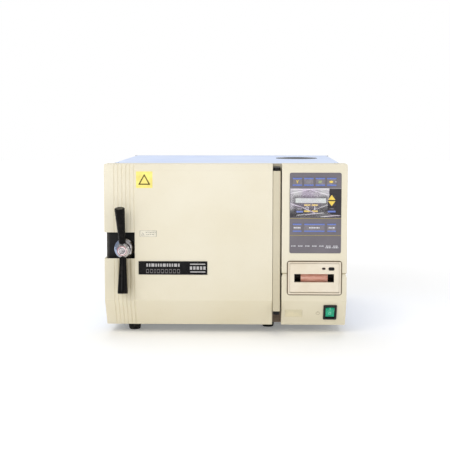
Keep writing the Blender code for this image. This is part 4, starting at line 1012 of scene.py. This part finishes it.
def make_plate_marks():
    """Two rows of plain marks and a barred block on the door's black plate."""
    low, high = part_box("name_plate")
    centre_z, tall = (low.z + high.z) / 2, high.z - low.z
    silver = ink("plate_silver", (190, 188, 188), 0.34)
    upper = dashes(PLATE_MARKS_X, centre_z + 0.21 * tall, 0.0700, 0.0066,
                   (1, 1, 2, 1, 1, 1, 2, 1, 1, 1, 2, 1))
    prints("name_plate_upper", upper, low.y, silver, "door")
    pewter = ink("plate_pewter", (128, 124, 124), 0.34)
    lower = dashes(PLATE_MARKS_X, centre_z - 0.24 * tall, 0.0710, 0.0084,
                   (2, 2, 1, 2, 2, 2, 2, 2, 2))
    hollow = [(mark, shrunk(mark, 0.0014)) for mark in lower]
    prints("name_plate_lower", hollow, low.y, pewter, "door")
    right = (PLATE_DIVIDER_X + high.x) / 2
    rows = [rectangle(right, centre_z + side * 0.0082, 0.0320, 0.0022) for side in (1, -1)]
    rows += dashes(right, centre_z, 0.0330, 0.0070, (1, 1, 1, 1, 1))
    prints("name_plate_bars", rows, low.y, silver, "door")


def make_handle_details():
    """Three rings turned into the hub's end, the outer one rose-coloured."""
    x, z = front_view("handle_hub")[:2]
    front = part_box("handle_hub")[0].y
    dark = Surface("hub_groove", base=colour(96, 84, 88), metal=1.0, rough=0.3)
    dark.tint(colour(104, 92, 96), colour(70, 62, 66), dark.spread(dark.noise(220.0, 3.0), 0.35, 0.7))
    rose = Surface("hub_ring", base=colour(190, 128, 132), metal=1.0, rough=0.26)
    rose.tint(colour(196, 134, 136), colour(150, 96, 104), rose.spread(rose.noise(160.0, 3.0), 0.35, 0.7))
    for name, outer, inner, finish in (("hub_outer_ring", 0.0098, 0.0084, rose.material),
                                       ("hub_inner_ring", 0.0062, 0.0050, dark.material),
                                       ("hub_centre_ring", 0.0030, 0.0018, dark.material)):
        profile = [(inner, 0.0008), (inner, -0.0004), (outer, -0.0004), (outer, 0.0008), (inner, 0.0008)]
        lathe(name, profile, (x, front, z), "Y", finish, "closing_handle", 40)


def make_screw(name, place, axis, radius, sign=1, material=zinc):
    """A plain pan-head screw on the cabinet, its head out along the axis, or against it by sign."""
    head = [(across * radius, out * radius * sign) for across, out in
            ((0, 0.45), (0.5, 0.42), (0.85, 0.25), (1, 0), (1, -0.3), (0, -0.3))]
    lathe(name, head, place, axis, material, "cabinet", 20)


def make_fasteners():
    """Black screws at the cover's front corners, and zinc ones along its sides and on the rear."""
    cover_low, cover_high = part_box("top_cover")
    rear_low, rear_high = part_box("rear_panel")
    for side, side_name in ((-1, "left"), (1, "right")):
        for number, inset in enumerate((0.0105, 0.0165)):
            place = (side * (cover_high.x - inset), cover_low.y + 0.005, cover_high.z)
            make_screw(f"cover_screw_{side_name}_{number}", place, "Z", 0.0022, material=enamel)
        for number, y in enumerate((-0.12, 0.06, 0.24)):
            make_screw(f"side_screw_{side_name}_{number}", (side * cover_high.x, y, 0.030), "X",
                       0.0032, side)
    places = [(x, z) for x in (rear_low.x + 0.008, 0.0, rear_high.x - 0.008)
              for z in (rear_low.z + 0.009, rear_high.z - 0.009)]
    for number, (x, z) in enumerate(places):
        make_screw(f"rear_screw_{number}", (x, rear_high.y, z), "Y", 0.0032)


def slope_point(fraction, proud):
    """Y and Z on the fascia's lower slope, a share of the way down it."""
    out_y, out_z = -SLOPE_HEIGHT / SLOPE_LENGTH, -SLOPE_DEPTH / SLOPE_LENGTH
    return (FRONT_Y + SLOPE_DEPTH * fraction + out_y * proud,
            SLOPE_TOP_Z - SLOPE_HEIGHT * fraction + out_z * proud)


def slope_prints(name, shapes, material):
    """Marks on the lower slope, as (outline, hole) pairs in X and distance down the slope."""
    bm = bmesh.new()
    for outline, hole in shapes:
        add_prism(bm, outline, 0.00014, -PRINT_ROOT, hole)
    for vertex in bm.verts:
        x, proud, down = vertex.co
        vertex.co = (x, *slope_point(down / SLOPE_LENGTH, proud))
    finish_piece(name, bm, material, "cabinet")


def make_slope_marks():
    """A faint ring beside the switch, and a blank label."""
    faint = ink("mark_faint", (188, 175, 146), 0.5)
    blank = ink("blank_label", (226, 216, 184), 0.36, 40.0)
    ring = disc(SWITCH_SYMBOL_X, 0.50 * SLOPE_LENGTH, 0.0042)
    tick = rectangle(SWITCH_SYMBOL_X, 0.50 * SLOPE_LENGTH - 0.0036, 0.0010, 0.0036)
    slope_prints("switch_symbol", [(ring, shrunk(ring, 0.0009)), (tick, None)], faint)
    plate = rounded(rectangle(BLANK_LABEL_X, 0.51 * SLOPE_LENGTH, 0.0370, 0.30 * SLOPE_LENGTH), 0.0012)
    slope_prints("blank_label", [(plate, None)], blank)
    slope_prints("blank_label_edge", [(plate, shrunk(plate, 0.0006))], faint)


def make_printer_lamp():
    """The small oval lamp lens beside the feed button."""
    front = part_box("printer_lid")[0].y
    lens = Surface("lamp_lens", base=colour(66, 52, 46), rough=0.2, specular=0.4)
    lens.tint(colour(74, 58, 50), colour(48, 38, 34), lens.noise(300.0, 3.0))
    oval = disc(*PRINTER_LAMP, 0.0040, 0.0026, 24)
    plates("printer_lamp", [oval], front - 0.0004, front + 0.0006, lens.material, "printer_lid",
           0.0003)


def make_printer_shadow_strip():
    """A dark strip in the gap round the printer's frame: painted shade standing for the shadow in that
    gap.
    """
    x, z, width, tall = front_view("printer_housing")
    inner = rounded(rectangle(x, z, width - 0.0005, tall - 0.0005), 0.0048)
    outer = rounded(rectangle(x, z, width + 0.0024, tall + 0.0024), 0.0062)
    # painted shade: a dark strip stands in the gap where only shadow falls
    strip = ink("shadow_strip_ink", (74, 62, 46), 0.7)
    plates("printer_shadow_strip", [(outer, inner)], FRONT_Y + 0.0002, FRONT_Y + 0.0016, strip, "cabinet")


def make_rear_plate():
    """A blank data plate on the rear panel, with rows of plain marks."""
    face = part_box("rear_panel")[1].y
    x, z = REAR_PLATE
    outline = rounded(rectangle(x, z, 0.070, 0.038), 0.002)
    silver = brushed_steel("data_plate", (12.0, 300.0, 900.0), (206, 208, 210), (0.3, 0.44))
    plates("rear_plate", [outline], face - 0.0002, face + 0.0005, silver, "cabinet")
    marks = []
    for row, lengths in enumerate(((3, 1, 2), (2, 2, 1, 1), (1, 3, 1), (2, 1, 1, 2))):
        marks += dashes(x, z + 0.0114 - row * 0.0076, 0.058, 0.0018, lengths)
    plates("rear_plate_marks", marks, face + 0.0004, face + 0.0006, ink_dark, "cabinet")


def make_inlet_pins():
    """Three brass blades standing in the mains inlet."""
    x, z = front_view("mains_inlet")[:2]
    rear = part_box("mains_inlet")[1].y
    for name, dx, dz in (("left", -0.007, -0.002), ("right", 0.007, -0.002), ("earth", 0.0, 0.004)):
        blade = rounded(rectangle(x + dx, z + dz, 0.0022, 0.0046), 0.0005)
        plates(f"inlet_pin_{name}", [blade], rear - 0.017, rear - 0.004, brass, "cabinet",
               0.0002)


bpy.context.scene.view_settings.view_transform = "Standard"
make_camera()
for soft_light in LIGHTS:
    make_light(*soft_light)
make_surroundings()
make_floor()
make_key_bars()
make_program_icons()
make_arrows()
make_lower_key_marks()
make_overlay_prints()
make_film()
make_square_label()
make_notice()
make_plate_marks()
make_handle_details()
make_fasteners()
make_slope_marks()
make_printer_lamp()
make_printer_shadow_strip()
make_rear_plate()
make_inlet_pins()
